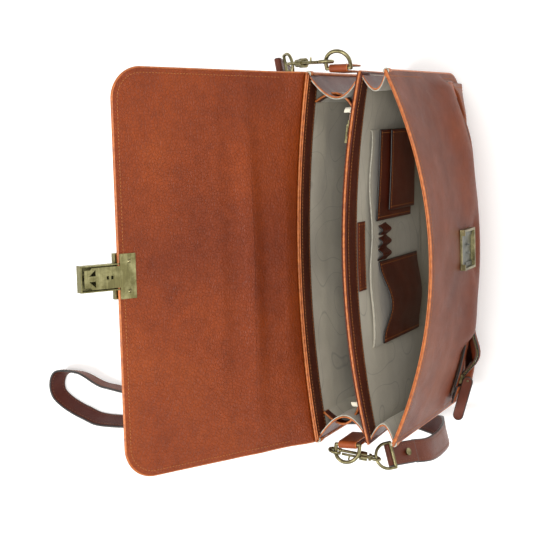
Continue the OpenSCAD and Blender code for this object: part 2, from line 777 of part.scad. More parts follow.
module flap_top() {
    color("#a4552b") flap_frame() translate([0, 0, -flap_t]) linear_extrude(flap_t)
        polygon([[-flap_half(hinge_gap), hinge_gap], [flap_half(hinge_gap), hinge_gap],
            [flap_half(flap_top_l), flap_top_l - fold_gap],
            [-flap_half(flap_top_l), flap_top_l - fold_gap]]);
}

module flap_front() {
    s0 = flap_top_l + fold_gap;
    sc = flap_l - flap_corner_r;
    hw = flap_half(sc);
    color("#a4552b") flap_frame() translate([0, 0, -flap_t]) linear_extrude(flap_t) {
        polygon([[-flap_half(s0), s0], [flap_half(s0), s0], [hw, sc],
            [hw - flap_corner_r, flap_l], [-hw + flap_corner_r, flap_l], [-hw, sc]]);
        for (s = [-1, 1]) translate([s * (hw - flap_corner_r), sc])
            circle(r = flap_corner_r, $fn = 96);
    }
}

module handle_chapes() {
    color("#8f8a5a") flap_frame() for (s = [-1, 1]) translate([s * handle_x, handle_s, 0]) {
        translate([-12, -9, -flap_t - 2.2 - layer]) cube([24, 18, 2.2]);
        translate([-6, 0, handle_n]) rotate([0, 90, 0]) difference() {
            cylinder(d = 8, h = 12);
            translate([0, 0, -1]) cylinder(r = handle_wire / 2 + 0.05, h = 14);
        }
    }
}

module handle_rings() {
    color("#8f8a5a") flap_frame() for (s = [-1, 1])
        translate([s * handle_x, handle_s, handle_n]) rotate([0, 90, 90])
            d_ring(handle_ring_w, handle_wire);
}

module carry_handle() {
    reach = (handle_ring_w - handle_wire) / 2 * 1.45;
    rise = 16;
    arc_r = (handle_x * handle_x + rise * rise) / (2 * rise);
    half_a = asin(handle_x / arc_r);
    color("#8a4526") flap_frame() translate([0, handle_s, handle_n - reach - 1])
        difference() {
            union() {
                translate([0, 0, arc_r - rise]) rotate([90, 0, 0])
                    rotate([0, 0, -90 - half_a]) rotate_extrude(angle = 2 * half_a, $fn = 120)
                        translate([arc_r, 0]) circle(d = 14);
                for (s = [-1, 1]) translate([s * handle_x, 7, 0]) rotate([90, 0, 0])
                    cylinder(d = 15, h = 14);
            }
            for (s = [-1, 1]) translate([s * handle_x, 0, 1.5]) cube([30, 5, 9], center = true);
        }
}

// Plate on the flap's inner face: a cross bar on the leather and a tongue past its edge
module lock_back_plate() {
    bar_s = flap_l - lock_bar_l;
    color("#8f8a5a") flap_frame() translate([0, 0, layer]) difference() {
        linear_extrude(lock_plate_t) difference() {
            union() {
                translate([-lock_bar_w / 2, bar_s]) square([lock_bar_w, lock_bar_l]);
                polygon([[-lock_tongue_w / 2, flap_l - 1], [lock_tongue_w / 2, flap_l - 1],
                    [lock_tongue_w / 2, flap_l + lock_tongue_l - 8],
                    [lock_tongue_w / 2 - 2, flap_l + lock_tongue_l - 6],
                    [lock_tongue_w / 2 - 2, flap_l + lock_tongue_l],
                    [-lock_tongue_w / 2 + 2, flap_l + lock_tongue_l],
                    [-lock_tongue_w / 2 + 2, flap_l + lock_tongue_l - 6],
                    [-lock_tongue_w / 2, flap_l + lock_tongue_l - 8]]);
            }
            for (s = [-1, 1]) polygon([[s * (window_x - 2.6), window_s - 3],
                [s * (window_x + 3.6), window_s - 3], [s * (window_x - 2.6), window_s + 4]]);
            for (y = [-3.6, 1.2]) translate([-1.7, key_s + y]) square([3.4, 2.4]);
            for (s = [-1, 1]) translate([s * rivet_half, bar_s + lock_bar_l * 0.4])
                circle(d = 2.9);
        }
    }
}

module lock_rivets() {
    color("#a39c63") flap_frame() for (s = [-1, 1])
        translate([s * rivet_half, flap_l - lock_bar_l * 0.6, 0]) {
            translate([0, 0, lock_plate_t + layer]) cylinder(d1 = 4, d2 = 2.6, h = 0.9);
            cylinder(d = 2.8, h = lock_plate_t + layer + eps);
        }
}

// Pressed casing on the flap's outer face, turned up round the tongue as a tray
module lock_case() {
    bar_s = flap_l - lock_bar_l - 1;
    tray_l = lock_tongue_l + 3;
    floor_n = -flap_t - case_t;
    color("#8f8a5a") flap_frame() difference() {
        union() {
            translate([-lock_bar_w / 2 - 0.5, bar_s, floor_n])
                cube([lock_bar_w + 1, lock_bar_l + 5, case_t - layer]);
            translate([-tray_w / 2, flap_l + 0.5, floor_n])
                cube([tray_w, tray_l, case_t + flap_t + 1]);
        }
        translate([-tray_w / 2 + wall, flap_l + 0.4, floor_n + 1.2])
            cube([tray_w - 2 * wall, tray_l - wall, case_t + flap_t + 1]);
        translate([-lock_bar_w / 2 + 1, bar_s + 1.5, floor_n + 1.2])
            cube([lock_bar_w - 2, lock_bar_l + 2, case_t]);
        translate([0, key_s, floor_n - 1]) cylinder(r = key_d / 2 + 0.08, h = 4);
        translate([0, button_s, floor_n - 1]) cylinder(r = button_d / 2 + 0.08, h = 4);
    }
}

module key_cylinder() {
    floor_n = -flap_t - case_t;
    color("#b5b07a") flap_frame() translate([0, key_s, 0]) difference() {
        union() {
            translate([0, 0, floor_n - 1.2]) cylinder(d = key_d, h = 7);
            translate([0, 0, floor_n - 2]) cylinder(d = key_d + 3, h = 1.9);
            translate([-1, -1.4, floor_n + 5]) cube([2, 2.8, case_t + flap_t - 5.3]);
        }
        translate([-0.6, -3, floor_n - 3]) cube([1.2, 6, 5]);
    }
}

module lock_button() {
    floor_n = -flap_t - case_t;
    color("#a39c63") flap_frame() translate([0, button_s, floor_n - 2.6])
        cylinder(d = button_d, h = 6.4);
}

// Sliding bar inside the casing that grips the catch's hooks
module latch_bar() {
    color("#77786c") flap_frame() difference() {
        translate([-8.5, latch_s, -3.4]) cube([17, 7, 2.2]);
        for (s = [-1, 1]) translate([s * window_x - 2, latch_s + 3, -4]) cube([4, 5, 4]);
    }
}

// Leaf spring that pushes the latch bar home
module latch_spring() {
    color("#b8bab0") flap_frame() translate([0, 0, -3.2]) linear_extrude(1.8)
        polygon([[-7, latch_s - 1.2], [0, latch_s - 0.4], [7, latch_s - 1.2], [7, latch_s - 0.8],
            [0, latch_s - 0.05], [-7, latch_s - 0.8]]);
}

back_panel();
back_facing();
back_lining();
base_gusset();
base_board();
rear_gusset_left();
rear_gusset_right();
front_gusset_left();
front_gusset_right();
ring_tabs();
d_rings();
snap_hooks();
hook_gate_left();
hook_gate_right();
hook_swivels();
strap_rings();
strap_ends();
strap_rivets();
shoulder_strap();
strap_slider();
divider_panel();
divider_facings();
divider_lining();
laptop_sleeve();
sleeve_trim();
middle_zip();
middle_zip_slider();
middle_zip_puller();
organizer_pocket();
phone_pocket();
pen_loops();
large_pocket();
label_patch();
front_panel();
front_facing();
front_lining();
catch_frame();
catch_box();
catch_backing();
front_pocket();
pocket_zip();
zip_end_tabs();
zip_slider();
zip_puller();
flap_top();
handle_chapes();
handle_rings();
carry_handle();
flap_front();
lock_case();
lock_back_plate();
lock_rivets();
latch_bar();
latch_spring();
lock_button();
key_cylinder();
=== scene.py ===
"""Leather briefcase: soft leather, linings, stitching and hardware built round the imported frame."""
import json
import math

import bpy
import numpy as np
from mathutils import Matrix, Vector


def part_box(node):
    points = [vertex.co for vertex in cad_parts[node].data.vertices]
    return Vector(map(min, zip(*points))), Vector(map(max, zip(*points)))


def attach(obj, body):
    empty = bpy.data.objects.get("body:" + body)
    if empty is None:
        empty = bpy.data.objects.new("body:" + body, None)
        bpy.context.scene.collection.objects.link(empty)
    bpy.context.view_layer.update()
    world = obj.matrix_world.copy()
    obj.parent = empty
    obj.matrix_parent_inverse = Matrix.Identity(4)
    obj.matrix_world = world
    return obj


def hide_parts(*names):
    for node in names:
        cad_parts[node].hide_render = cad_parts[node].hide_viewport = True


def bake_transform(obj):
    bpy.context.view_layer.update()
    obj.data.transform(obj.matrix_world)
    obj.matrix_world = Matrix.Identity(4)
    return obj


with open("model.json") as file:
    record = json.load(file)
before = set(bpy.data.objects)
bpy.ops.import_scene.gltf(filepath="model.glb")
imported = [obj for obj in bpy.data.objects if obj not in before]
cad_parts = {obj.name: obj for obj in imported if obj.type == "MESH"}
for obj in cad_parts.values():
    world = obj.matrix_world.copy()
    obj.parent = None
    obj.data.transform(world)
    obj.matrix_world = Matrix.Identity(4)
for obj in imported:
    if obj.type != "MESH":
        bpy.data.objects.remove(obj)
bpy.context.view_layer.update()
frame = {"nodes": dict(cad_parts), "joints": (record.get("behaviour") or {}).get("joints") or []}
NODES = frame["nodes"]
MM = 0.001

# ---------------------------------------------------------------- sizes, taken from the frame


def box_mm(node):
    """Lowest and highest corner of a CAD node, in millimetres."""
    lo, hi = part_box(node)
    return np.array(lo) / MM, np.array(hi) / MM


BACK_LO, BACK_HI = box_mm("back_panel")
FRONT_LO, FRONT_HI = box_mm("front_panel")
DIVIDER_LO, DIVIDER_HI = box_mm("divider_panel")
PANEL_W = BACK_HI[0] - BACK_LO[0]
DIVIDER_W = DIVIDER_HI[0] - DIVIDER_LO[0] + 2
PANEL_H = BACK_HI[2]
BASE_HALF = 42.0            # half of the depth at the base
BACK_TOP_Y = 49.0           # top corners of the back panel
DIVIDER_TOP_Y = -7.0        # top corners of the divider
FRONT_TOP_Y = -35.0         # top corners of the front panel
BACK_BOW = 14.6             # how far each wall bows in the middle
DIVIDER_BOW = 21.8
FRONT_BOW = 44.0
BELLY_Z = 140.0             # height at which the bow is full
CORNER_R = 50.0
LEATHER_T = 2.4
FACING_H = 28.0
FACING_T = 1.4

# The flap's own frame: s runs from the hinge to the free edge, n is out of the inner face
JOINTS = {j["name"]: j for j in frame["joints"]}
HINGE = np.array(JOINTS["flap_hinge"]["pos_m"]) / MM
FOLD = np.array(JOINTS["flap_fold"]["pos_m"]) / MM
FLAP_S = (FOLD - HINGE) / np.linalg.norm(FOLD - HINGE)
FLAP_N = np.array([0.0, -FLAP_S[2], FLAP_S[1]])
FLAP_TOP_L = float(np.linalg.norm(FOLD - HINGE))
FLAP_L = 2 * FLAP_TOP_L
FLAP_W = 403.0
FLAP_CORNER_R = 30.0
FLAP_T = 3.4
ZIP_ARC = np.array(JOINTS["pocket_zip_run"]["pos_m"]) / MM
ZIP_Z = float(ZIP_ARC[2])


def swell(z):
    low = np.clip(z, 0, BELLY_Z) / BELLY_Z
    return np.where(z >= BELLY_Z, 1.0, np.sin(math.pi / 2 * low) ** 1.5)


def arch(x, w):
    return 1 - (2 * x / w) ** 2


def lean(z, top, foot):
    return foot + (top - foot) * z / PANEL_H


def back_y(x, z):
    return lean(z, BACK_TOP_Y, BASE_HALF) + BACK_BOW * swell(z) * arch(x, PANEL_W)


def front_y(x, z):
    return lean(z, FRONT_TOP_Y, -BASE_HALF) - FRONT_BOW * swell(z) * arch(x, PANEL_W)


def divider_y(x, z):
    return lean(z, DIVIDER_TOP_Y, 0.0) + DIVIDER_BOW * np.maximum(z / PANEL_H, 0) ** 1.5 * arch(x, DIVIDER_W)


def half_w(z, w):
    r = CORNER_R
    return np.where(z >= r, w / 2, w / 2 - r + np.sqrt(np.maximum(0, r * r - (r - np.minimum(z, r)) ** 2)))


def flap_half(s):
    return (PANEL_W + (FLAP_W - PANEL_W) * np.clip(s / FLAP_L, 0, 1)) / 2


def flap_point(x, s, n):
    x, s, n = np.broadcast_arrays(np.asarray(x, float), np.asarray(s, float), np.asarray(n, float))
    return HINGE + x[..., None] * np.array([1.0, 0, 0]) + s[..., None] * FLAP_S + n[..., None] * FLAP_N


# ---------------------------------------------------------------- materials


def linear(hex_colour):
    """Linear RGBA from a web colour."""
    parts = [int(hex_colour[i:i + 2], 16) / 255 for i in (1, 3, 5)]
    return tuple(c / 12.92 if c <= 0.04045 else ((c + 0.055) / 1.055) ** 2.4 for c in parts) + (1.0,)


class Graph:
    """A short way to write a node tree."""

    def __init__(self, name):
        self.mat = bpy.data.materials.new(name)
        self.mat.use_nodes = True
        self.tree = self.mat.node_tree
        self.bsdf = self.tree.nodes["Principled BSDF"]
        coord = self.tree.nodes.new("ShaderNodeTexCoord")
        self.place = coord.outputs["Object"]

    def add(self, kind, **inputs):
        node = self.tree.nodes.new(kind)
        for key, value in inputs.items():
            if hasattr(node, key) and not key[0].isupper():
                setattr(node, key, value)
            else:
                self.feed(node, key.replace("_", " "), value)
        return node

    def put(self, socket, value):
        """Link a socket to an output, or give it a plain value."""
        if isinstance(value, bpy.types.NodeSocket):
            self.tree.links.new(value, socket)
        else:
            socket.default_value = value

    def feed(self, node, key, value):
        self.put(node.inputs[key], value)

    def link(self, out, node, key):
        self.tree.links.new(out, node.inputs[key])

    def noise(self, scale, detail=4.0, rough=0.55, place=None):
        node = self.add("ShaderNodeTexNoise", Scale=scale, Detail=detail, Roughness=rough)
        self.link(place or self.place, node, "Vector")
        return node.outputs["Fac"]

    def cells(self, scale, place):
        """Distance to the edge of irregular cells."""
        node = self.add("ShaderNodeTexVoronoi", feature="DISTANCE_TO_EDGE", Scale=scale)
        self.link(place, node, "Vector")
        return node.outputs["Distance"]

    def ramp(self, fac, *stops):
        node = self.tree.nodes.new("ShaderNodeValToRGB")
        self.link(fac, node, "Fac")
        elements = node.color_ramp.elements
        while len(elements) < len(stops):
            elements.new(0.5)
        for element, (at, colour) in zip(elements, stops):
            element.position = at
            element.color = colour if len(colour) == 4 else (*colour, 1)
        return node.outputs["Color"]

    def mix(self, fac, a, b, blend="MIX"):
        node = self.tree.nodes.new("ShaderNodeMix")
        node.data_type = "RGBA"
        node.blend_type = blend
        for index, value in ((0, fac), (6, a), (7, b)):
            self.put(node.inputs[index], value)
        return node.outputs[2]

    def math(self, op, a, b=0.0):
        node = self.tree.nodes.new("ShaderNodeMath")
        node.operation = op
        for socket, value in zip(node.inputs, (a, b)):
            self.put(socket, value)
        return node.outputs[0]

    def stretch(self, scale):
        node = self.add("ShaderNodeMapping")
        self.link(self.place, node, "Vector")
        node.inputs["Scale"].default_value = scale
        return node.outputs["Vector"]

    def bump(self, height, strength, distance, normal=None):
        node = self.add("ShaderNodeBump", Strength=strength, Distance=distance)
        self.link(height, node, "Height")
        if normal is not None:
            self.link(normal, node, "Normal")
        return node.outputs["Normal"]

    def finish(self, colour=None, rough=None, normal=None, **plain):
        for key, value in (("Base Color", colour), ("Roughness", rough), ("Normal", normal)):
            if value is not None:
                self.feed(self.bsdf, key, value)
        for key, value in plain.items():
            self.bsdf.inputs[key.replace("_", " ")].default_value = value
        return self.mat


def leather(name, light, mid, dark, grain=1.0, rough=(0.36, 0.55), coat=0.05, cell=620.0, patch=7.0,
            gloss=0.26):
    """Grained leather: pebbled cells, fine pores, cloudy dye and rubbed highlights."""
    g = Graph(name)
    cloud = g.noise(patch, 5.0, 0.6)
    mottling = g.noise(95.0, 6.0, 0.7)
    dye = g.ramp(cloud, (0.30, linear(dark)), (0.52, linear(mid)), (0.74, linear(light)))
    speck = g.ramp(mottling, (0.35, (0.80, 0.78, 0.76)), (0.62, (1.08, 1.06, 1.04)))
    colour = g.mix(0.75, dye, speck, "MULTIPLY")
    warp = g.add("ShaderNodeVectorMath", operation="ADD")
    wobble = g.add("ShaderNodeTexNoise", Scale=140.0, Detail=2.0)
    g.link(g.place, wobble, "Vector")
    small = g.add("ShaderNodeVectorMath", operation="SCALE")
    g.link(wobble.outputs["Color"], small, 0)
    small.inputs["Scale"].default_value = 0.0016
    g.link(g.place, warp, 0)
    g.link(small.outputs[0], warp, 1)
    pebble = g.cells(cell, warp.outputs[0])
    creases = g.ramp(pebble, (0.0, (0, 0, 0)), (0.16, (1, 1, 1)))
    colour = g.mix(g.math("MULTIPLY", g.math("SUBTRACT", 1.0, creases), 0.22 * grain), colour, linear(dark))
    pores = g.noise(1500.0, 3.0, 0.6)
    normal = g.bump(creases, 0.5 * grain, 0.0006)
    normal = g.bump(pores, 0.16 * grain, 0.00022, normal)
    normal = g.bump(g.noise(190.0, 4.0, 0.6), 0.5 * grain, 0.0011, normal)
    normal = g.bump(g.noise(30.0, 4.0, 0.55), 0.25 * grain, 0.0018, normal)
    shine = g.ramp(g.noise(26.0, 5.0, 0.6), (0.3, (rough[0],) * 3), (0.72, (rough[1],) * 3))
    return g.finish(colour, shine, normal, Coat_Weight=coat, Coat_Roughness=0.3, Specular_IOR_Level=gloss)


def woven(name, light, dark, thread=1500.0, lines=True):
    """Close-woven lining with faint curved lines in the cloth."""
    g = Graph(name)
    base = g.ramp(g.noise(9.0, 4.0, 0.6), (0.3, linear(dark)), (0.72, linear(light)))
    colour = base
    if lines:
        field = g.noise(11.0, 0.0, 0.5)
        wave = g.math("PINGPONG", g.math("MULTIPLY", field, 9.0), 0.5)
        stroke = g.ramp(wave, (0.0, (1, 1, 1)), (0.035, (0, 0, 0)))
        colour = g.mix(g.math("MULTIPLY", stroke, 0.34), base, linear("#4f4b40"))
    warp = g.add("ShaderNodeTexWave", Scale=thread / 6.3, Distortion=0.4)
    g.link(g.place, warp, "Vector")
    weft = g.add("ShaderNodeTexWave", Scale=thread / 6.3, Distortion=0.4, bands_direction="Z")
    g.link(g.place, weft, "Vector")
    cloth = g.math("MULTIPLY", warp.outputs["Fac"], weft.outputs["Fac"])
    colour = g.mix(0.18, colour, g.ramp(cloth, (0.1, (0.6, 0.6, 0.6)), (0.9, (1, 1, 1))), "MULTIPLY")
    normal = g.bump(cloth, 0.25, 0.0002)
    normal = g.bump(g.noise(24.0, 5.0, 0.55), 0.6, 0.003, normal)
    normal = g.bump(g.noise(8.0, 3.0, 0.6), 0.5, 0.008, normal)
    return g.finish(colour, 0.86, normal, Sheen_Weight=0.25, Specular_IOR_Level=0.2)


def brass(name, light, dark, rough=0.3, brushed=None, patina=0.5):
    """Antique brass: warm metal with dark patina; brushed gives the scale of its brush lines."""
    g = Graph(name)
    stain = g.noise(85.0, 6.0, 0.65)
    colour = g.ramp(stain, (0.5 - patina * 0.35, linear(dark)), (0.66, linear(light)))
    normal = g.bump(g.noise(420.0, 4.0, 0.6), 0.10, 0.0002)
    shine = g.ramp(g.noise(150.0, 4.0, 0.6), (0.3, (rough,) * 3), (0.75, (rough + 0.18,) * 3))
    if brushed:
        lines = g.noise(1.0, 2.0, 0.5, g.stretch(brushed))
        strokes = g.ramp(lines, (0.32, (0.62, 0.62, 0.60)), (0.66, (1.12, 1.12, 1.08)))
        colour = g.mix(0.8, colour, strokes, "MULTIPLY")
        normal = g.bump(lines, 0.35, 0.0002, normal)
    return g.finish(colour, shine, normal, Metallic=1.0)


def painted(name, hex_colour, rough=0.45, wear=None):
    """Painted or dyed cut edge of leather with small unevenness."""
    g = Graph(name)
    worn = linear(wear or hex_colour)
    colour = g.ramp(g.noise(210.0, 5.0, 0.65), (0.34, worn), (0.6, linear(hex_colour)))
    normal = g.bump(g.noise(700.0, 4.0, 0.6), 0.3, 0.0003)
    return g.finish(colour, rough, normal)


def thread(name, hex_colour):
    g = Graph(name)
    twist = g.noise(2600.0, 2.0, 0.5)
    colour = g.mix(0.4, linear(hex_colour), g.ramp(twist, (0.3, (0.5, 0.5, 0.5)), (0.7, (1.2, 1.2, 1.2))),
                   "MULTIPLY")
    return g.finish(colour, 0.7, g.bump(twist, 0.4, 0.0002))


M = {
    "flap": leather("flap_grain", "#9b4714", "#88390d", "#6e2a0a", grain=1.3, rough=(0.36, 0.5),
                    coat=0.05, cell=300.0, patch=4.5),
    "flap_out": leather("flap_outer", "#7d3a1d", "#6c3118", "#522413", grain=0.9),
    "body": leather("body_calf", "#82421f", "#6f3318", "#562411", grain=0.5, rough=(0.36, 0.5), coat=0.0,
                    gloss=0.12),
    "gusset": leather("gusset_calf", "#7d3618", "#682812", "#431a0c", grain=0.6),
    "facing": leather("facing_calf", "#6a3018", "#542010", "#3a150b", grain=0.8),
    "trim": leather("trim_calf", "#7e3919", "#6b2b14", "#4c1d0e", grain=0.6),
    "strap": leather("strap_calf", "#733a22", "#612d1a", "#461e11", grain=0.6),
    "strap_in": leather("strap_inside", "#5c2517", "#4a1c12", "#33120b", grain=0.5),
    "pocket": leather("pocket_calf", "#7c371f", "#642816", "#45190d", grain=0.6, coat=0.2),
    "tab": leather("tab_calf", "#a4551f", "#8f431b", "#6b2e14", grain=0.5),
    "lining": woven("lining_cloth", "#d3ccb9", "#b5ad99"),
    "cream": woven("zip_tape_cloth", "#efe9d6", "#d5cdb6", lines=False),
    "zip_tape": woven("zip_tape_dark", "#6b4a34", "#543626", lines=False),
    "edge": painted("cut_edge", "#bd6a2c", 0.45, "#934a1e"),
    "edge_dark": painted("black_edge", "#1b1a18", 0.38, "#2c2621"),
    "piping": painted("white_piping", "#c2beae", 0.7, "#9d998a"),
    "thread": thread("orange_thread", "#a9672f"),
    "thread_dark": thread("brown_thread", "#7a4a2c"),
    "brass": brass("antique_brass", "#a39a72", "#4f492e", 0.28),
    "brass_plate": brass("brushed_brass", "#a8a276", "#7d7750", 0.34, (60.0, 2200.0, 2200.0), 0.2),
    "steel": brass("dull_steel", "#7f8079", "#3c3c38", 0.45, patina=0.6),
    # Near-black painted shade, used for the front pocket's open mouth and for the bag's floor board
    "painted_shade": painted("painted_shade_black", "#0d0b0a", 0.8),
    "teeth": brass("zip_teeth", "#9a8f52", "#5c5430", 0.34),
}

# ---------------------------------------------------------------- mesh tools


def make(name, verts, faces, mats, mat_of):
    """Mesh object from millimetre points."""
    mesh = bpy.data.meshes.new(name)
    mesh.from_pydata((np.asarray(verts, float) * MM).tolist(), [], faces)
    for m in mats:
        mesh.materials.append(M[m])
    mesh.polygons.foreach_set("material_index", np.asarray(mat_of, np.int32))
    mesh.polygons.foreach_set("use_smooth", [True] * len(mesh.polygons))
    mesh.validate()
    mesh.update()
    obj = bpy.data.objects.new(name, mesh)
    bpy.context.scene.collection.objects.link(obj)
    return obj


def axis(n, pad=0.0):
    """n steps from 0 to 1, with a close step at both ends so that shading stays crisp there."""
    inner = np.linspace(0, 1, n + 1)
    if pad:
        inner = np.concatenate([[0, pad], inner[1:-1], [1 - pad, 1]])
    return inner


def unit(v):
    return v / np.maximum(np.linalg.norm(v, axis=-1, keepdims=True), 1e-9)


RIM = ((45, 0.33), (90, 0.46), (135, 0.33))      # turn in degrees and reach of the rounded rim


def sheet_data(fn, us, vs, t, open_end=None):
    """Vertices, faces and face slots (near, far, rim) of a thick sheet with a rounded rim.

    Near is the +Y side when u runs along +X and v along +Z. open_end (0 or 1) leaves that end of v
    without a rim.
    """
    grid_u, grid_v = np.meshgrid(us, vs)
    p = fn(grid_u, grid_v)
    normal = unit(np.cross(np.gradient(p, axis=1), np.gradient(p, axis=0)))
    rows, cols = p.shape[:2]
    near = (p - normal * t / 2).reshape(-1, 3)
    far = (p + normal * t / 2).reshape(-1, 3)
    index = np.arange(rows * cols).reshape(rows, cols)
    loop = np.concatenate([index[0, :-1], index[:-1, -1], index[-1, :0:-1], index[:0:-1, 0]])
    pb, nb = p.reshape(-1, 3)[loop], normal.reshape(-1, 3)[loop]
    tangent = unit(np.roll(pb, -1, 0) - np.roll(pb, 1, 0))
    out = unit(np.cross(tangent, nb))
    count = rows * cols
    verts = [near, far]
    rings = [loop]
    for k, (turn, reach) in enumerate(RIM):
        a = math.radians(turn)
        verts.append(pb - nb * t / 2 * math.cos(a) + out * t * reach)
        rings.append(2 * count + k * len(loop) + np.arange(len(loop)))
    rings.append(loop + count)
    faces, slots = [], []
    for j in range(rows - 1):
        for i in range(cols - 1):
            a = index[j, i]
            b, c, d = a + 1, a + cols + 1, a + cols
            faces.append((a, d, c, b))
            faces.append((a + count, b + count, c + count, d + count))
            slots += [0, 1]
    skip = set()
    if open_end is not None:
        first = 0 if open_end == 0 else cols - 1 + rows - 1
        skip = set(range(first, first + cols - 1))
    for k in range(len(rings) - 1):
        a, b = rings[k], rings[k + 1]
        for q in range(len(loop)):
            if q in skip:
                continue
            r = (q + 1) % len(loop)
            faces.append((int(a[q]), int(a[r]), int(b[r]), int(b[q])))
            slots.append(2)
    return np.concatenate(verts), [tuple(int(x) for x in f) for f in faces], slots


def sheet(name, fn, nu, nv, t, mats, pad=0.006, us=None, vs=None, open_end=None):
    """Object from a thick sheet; mats are its near, far and rim materials."""
    us = axis(nu, pad) if us is None else us
    vs = axis(nv, pad) if vs is None else vs
    verts, faces, slots = sheet_data(fn, us, vs, t, open_end)
    return make(name, verts, faces, mats, slots)


def merge(name, parts, mats):
    """One object from several (verts, faces, slots)."""
    verts, faces, slots, base = [], [], [], 0
    for v, f, s in parts:
        verts.append(v)
        faces += [tuple(x + base for x in face) for face in f]
        slots += list(s)
        base += len(v)
    return make(name, np.concatenate(verts), faces, mats, slots)


def capsule(sides=6, rings=4):
    """Unit ellipsoid along X, for stitches and teeth."""
    verts = [(-1.0, 0, 0)]
    for k in range(1, rings):
        a = math.pi * k / rings
        verts += [(-math.cos(a), math.sin(a) * math.cos(2 * math.pi * j / sides),
                   math.sin(a) * math.sin(2 * math.pi * j / sides)) for j in range(sides)]
    verts.append((1.0, 0, 0))
    faces = []
    for j in range(sides):
        n = (j + 1) % sides
        faces.append((0, 1 + n, 1 + j))
        last = 1 + (rings - 2) * sides
        faces.append((len(verts) - 1, last + j, last + n))
        for k in range(rings - 2):
            a = 1 + k * sides
            faces.append((a + j, a + n, a + sides + n, a + sides + j))
    return np.array(verts), faces


def resample(points, pitch):
    """Evenly spaced points and tangents along a polyline."""
    points = np.asarray(points, float)
    steps = np.linalg.norm(np.diff(points, axis=0), axis=1)
    run = np.concatenate([[0], np.cumsum(steps)])
    count = max(2, int(run[-1] / pitch))
    at = np.linspace(0, run[-1], count)
    q = np.stack([np.interp(at, run, points[:, k]) for k in range(3)], -1)
    return q, unit(np.gradient(q, axis=0))


def stitch_data(points, normal, pitch=3.4, length=2.4, width=0.75, lift=0.1):
    """Stitches along a line on a surface; normal is one vector, or one per point of the line."""
    q, tangent = resample(points, pitch)
    normal = np.asarray(normal, float)
    if normal.ndim == 2:
        normal = np.stack([np.interp(np.linspace(0, 1, len(q)), np.linspace(0, 1, len(normal)), normal[:, k])
                           for k in range(3)], -1)
    else:
        normal = np.repeat(normal[None], len(q), 0)
    side = unit(np.cross(normal, tangent))
    normal = unit(np.cross(tangent, side))
    shape, faces = capsule()
    verts, all_faces = [], []
    for k in range(len(q)):
        local = shape * np.array([length / 2, width / 2, width / 2])
        world = q[k] + normal[k] * lift + local @ np.stack([tangent[k], side[k], normal[k]])
        all_faces += [tuple(i + k * len(shape) for i in f) for f in faces]
        verts.append(world)
    return np.concatenate(verts), all_faces, [0] * len(all_faces)


def tube_data(points, radius, sides=10):
    """Round tube along a line."""
    points = np.asarray(points, float)
    tangent = unit(np.gradient(points, axis=0))
    ref = np.array([0.0, 0, 1]) if abs(tangent[0][2]) < 0.9 else np.array([1.0, 0, 0])
    verts = []
    across = unit(np.cross(tangent[0], ref))
    for k in range(len(points)):
        across = unit(across - tangent[k] * np.dot(across, tangent[k]))
        other = np.cross(tangent[k], across)
        r = radius[k] if np.ndim(radius) else radius
        a = np.linspace(0, 2 * math.pi, sides, endpoint=False)[:, None]
        verts.append(points[k] + r * (np.cos(a) * across + np.sin(a) * other))
    faces, rows = [], len(points)
    for k in range(rows - 1):
        n = k + 1
        for j in range(sides):
            m = (j + 1) % sides
            faces.append((k * sides + j, k * sides + m, n * sides + m, n * sides + j))
    faces.append(tuple(range(sides))[::-1])
    faces.append(tuple((rows - 1) * sides + j for j in range(sides)))
    return np.concatenate(verts), faces, [0] * len(faces)


def layered(wall, off):
    """Wall function shifted by off along Y."""
    return lambda x, z: wall(x, z) + off


def wall_fn(wall, w, z0, z1, inset=0.0):
    """Full-width wall as a function of u and v."""
    def fn(u, v):
        z = z0 + (z1 - z0) * v
        x = (2 * u - 1) * (half_w(z, w) - inset)
        return np.stack([x, wall(x, z), z], -1)
    return fn


def patch_fn(wall, x0, x1, z0, z1):
    def fn(u, v):
        x = x0 + (x1 - x0) * u
        z = z0 + (z1 - z0) * v
        return np.stack([x, wall(x, z) + 0 * x, z], -1)
    return fn


WALL_ROWS = np.concatenate([[0, 0.004], np.linspace(0, 0.17, 12)[1:], np.linspace(0.17, 1, 24)[1:-1],
                            [0.996, 1]])
WALL_COLS = axis(44, 0.003)


def place(obj, body, *nodes, slot=None):
    """Put a piece on its body and hide the CAD nodes it stands for."""
    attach(obj, body)
    finish_piece(nodes)
    return obj


def finish_piece(nodes):
    if nodes:
        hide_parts(*nodes)


def sides_blend(obj, *nodes, slot=None):
    """Keep a side piece where it was built, between the back wall and the front wall, and hide any CAD nodes
    it stands for.
    """
    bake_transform(obj)
    finish_piece(nodes)


# ---------------------------------------------------------------- walls of the bag

IN = np.array([0.0, 1.0, 0.0])       # out of a face that looks to +Y
OUT = np.array([0.0, -1.0, 0.0])     # out of a face that looks to -Y


def line_on(wall, w, z, inset, off, n=90):
    """Horizontal line on a wall at height z."""
    x = np.linspace(-1, 1, n) * (half_w(np.float64(z), w) - inset)
    return np.stack([x, wall(x, np.float64(z)) + off, np.full(n, float(z))], -1)


def side_line(wall, w, side, inset, off, z0, z1, n=60):
    z = np.linspace(z0, z1, n)
    x = side * (half_w(z, w) - inset)
    return np.stack([x, wall(x, z) + off, z], -1)


def outline(wall, w, inset, off, z0, z1):
    """Line up one side of a wall, and down the other, with the foot between them."""
    left = side_line(wall, w, -1, inset, off, z1, z0)
    right = side_line(wall, w, 1, inset, off, z0, z1)
    return np.concatenate([left, right])


def folds(x, z, amp, seed, w, z0, z1):
    """Soft loose folds of a hanging lining, none at its edges."""
    wave = (np.sin(x / 31.0 + z / 57.0 + seed) * np.cos(z / 43.0 - x / 83.0 + 2.3 * seed)
            + 0.5 * np.sin(x / 13.0 - z / 29.0 + 1.7 * seed))
    fade = np.clip((z1 - z) / 30, 0, 1) * np.clip((z - z0) / 25, 0, 1) * np.clip((w / 2 - abs(x)) / 25, 0, 1)
    return amp * (0.5 + 0.33 * wave) * fade


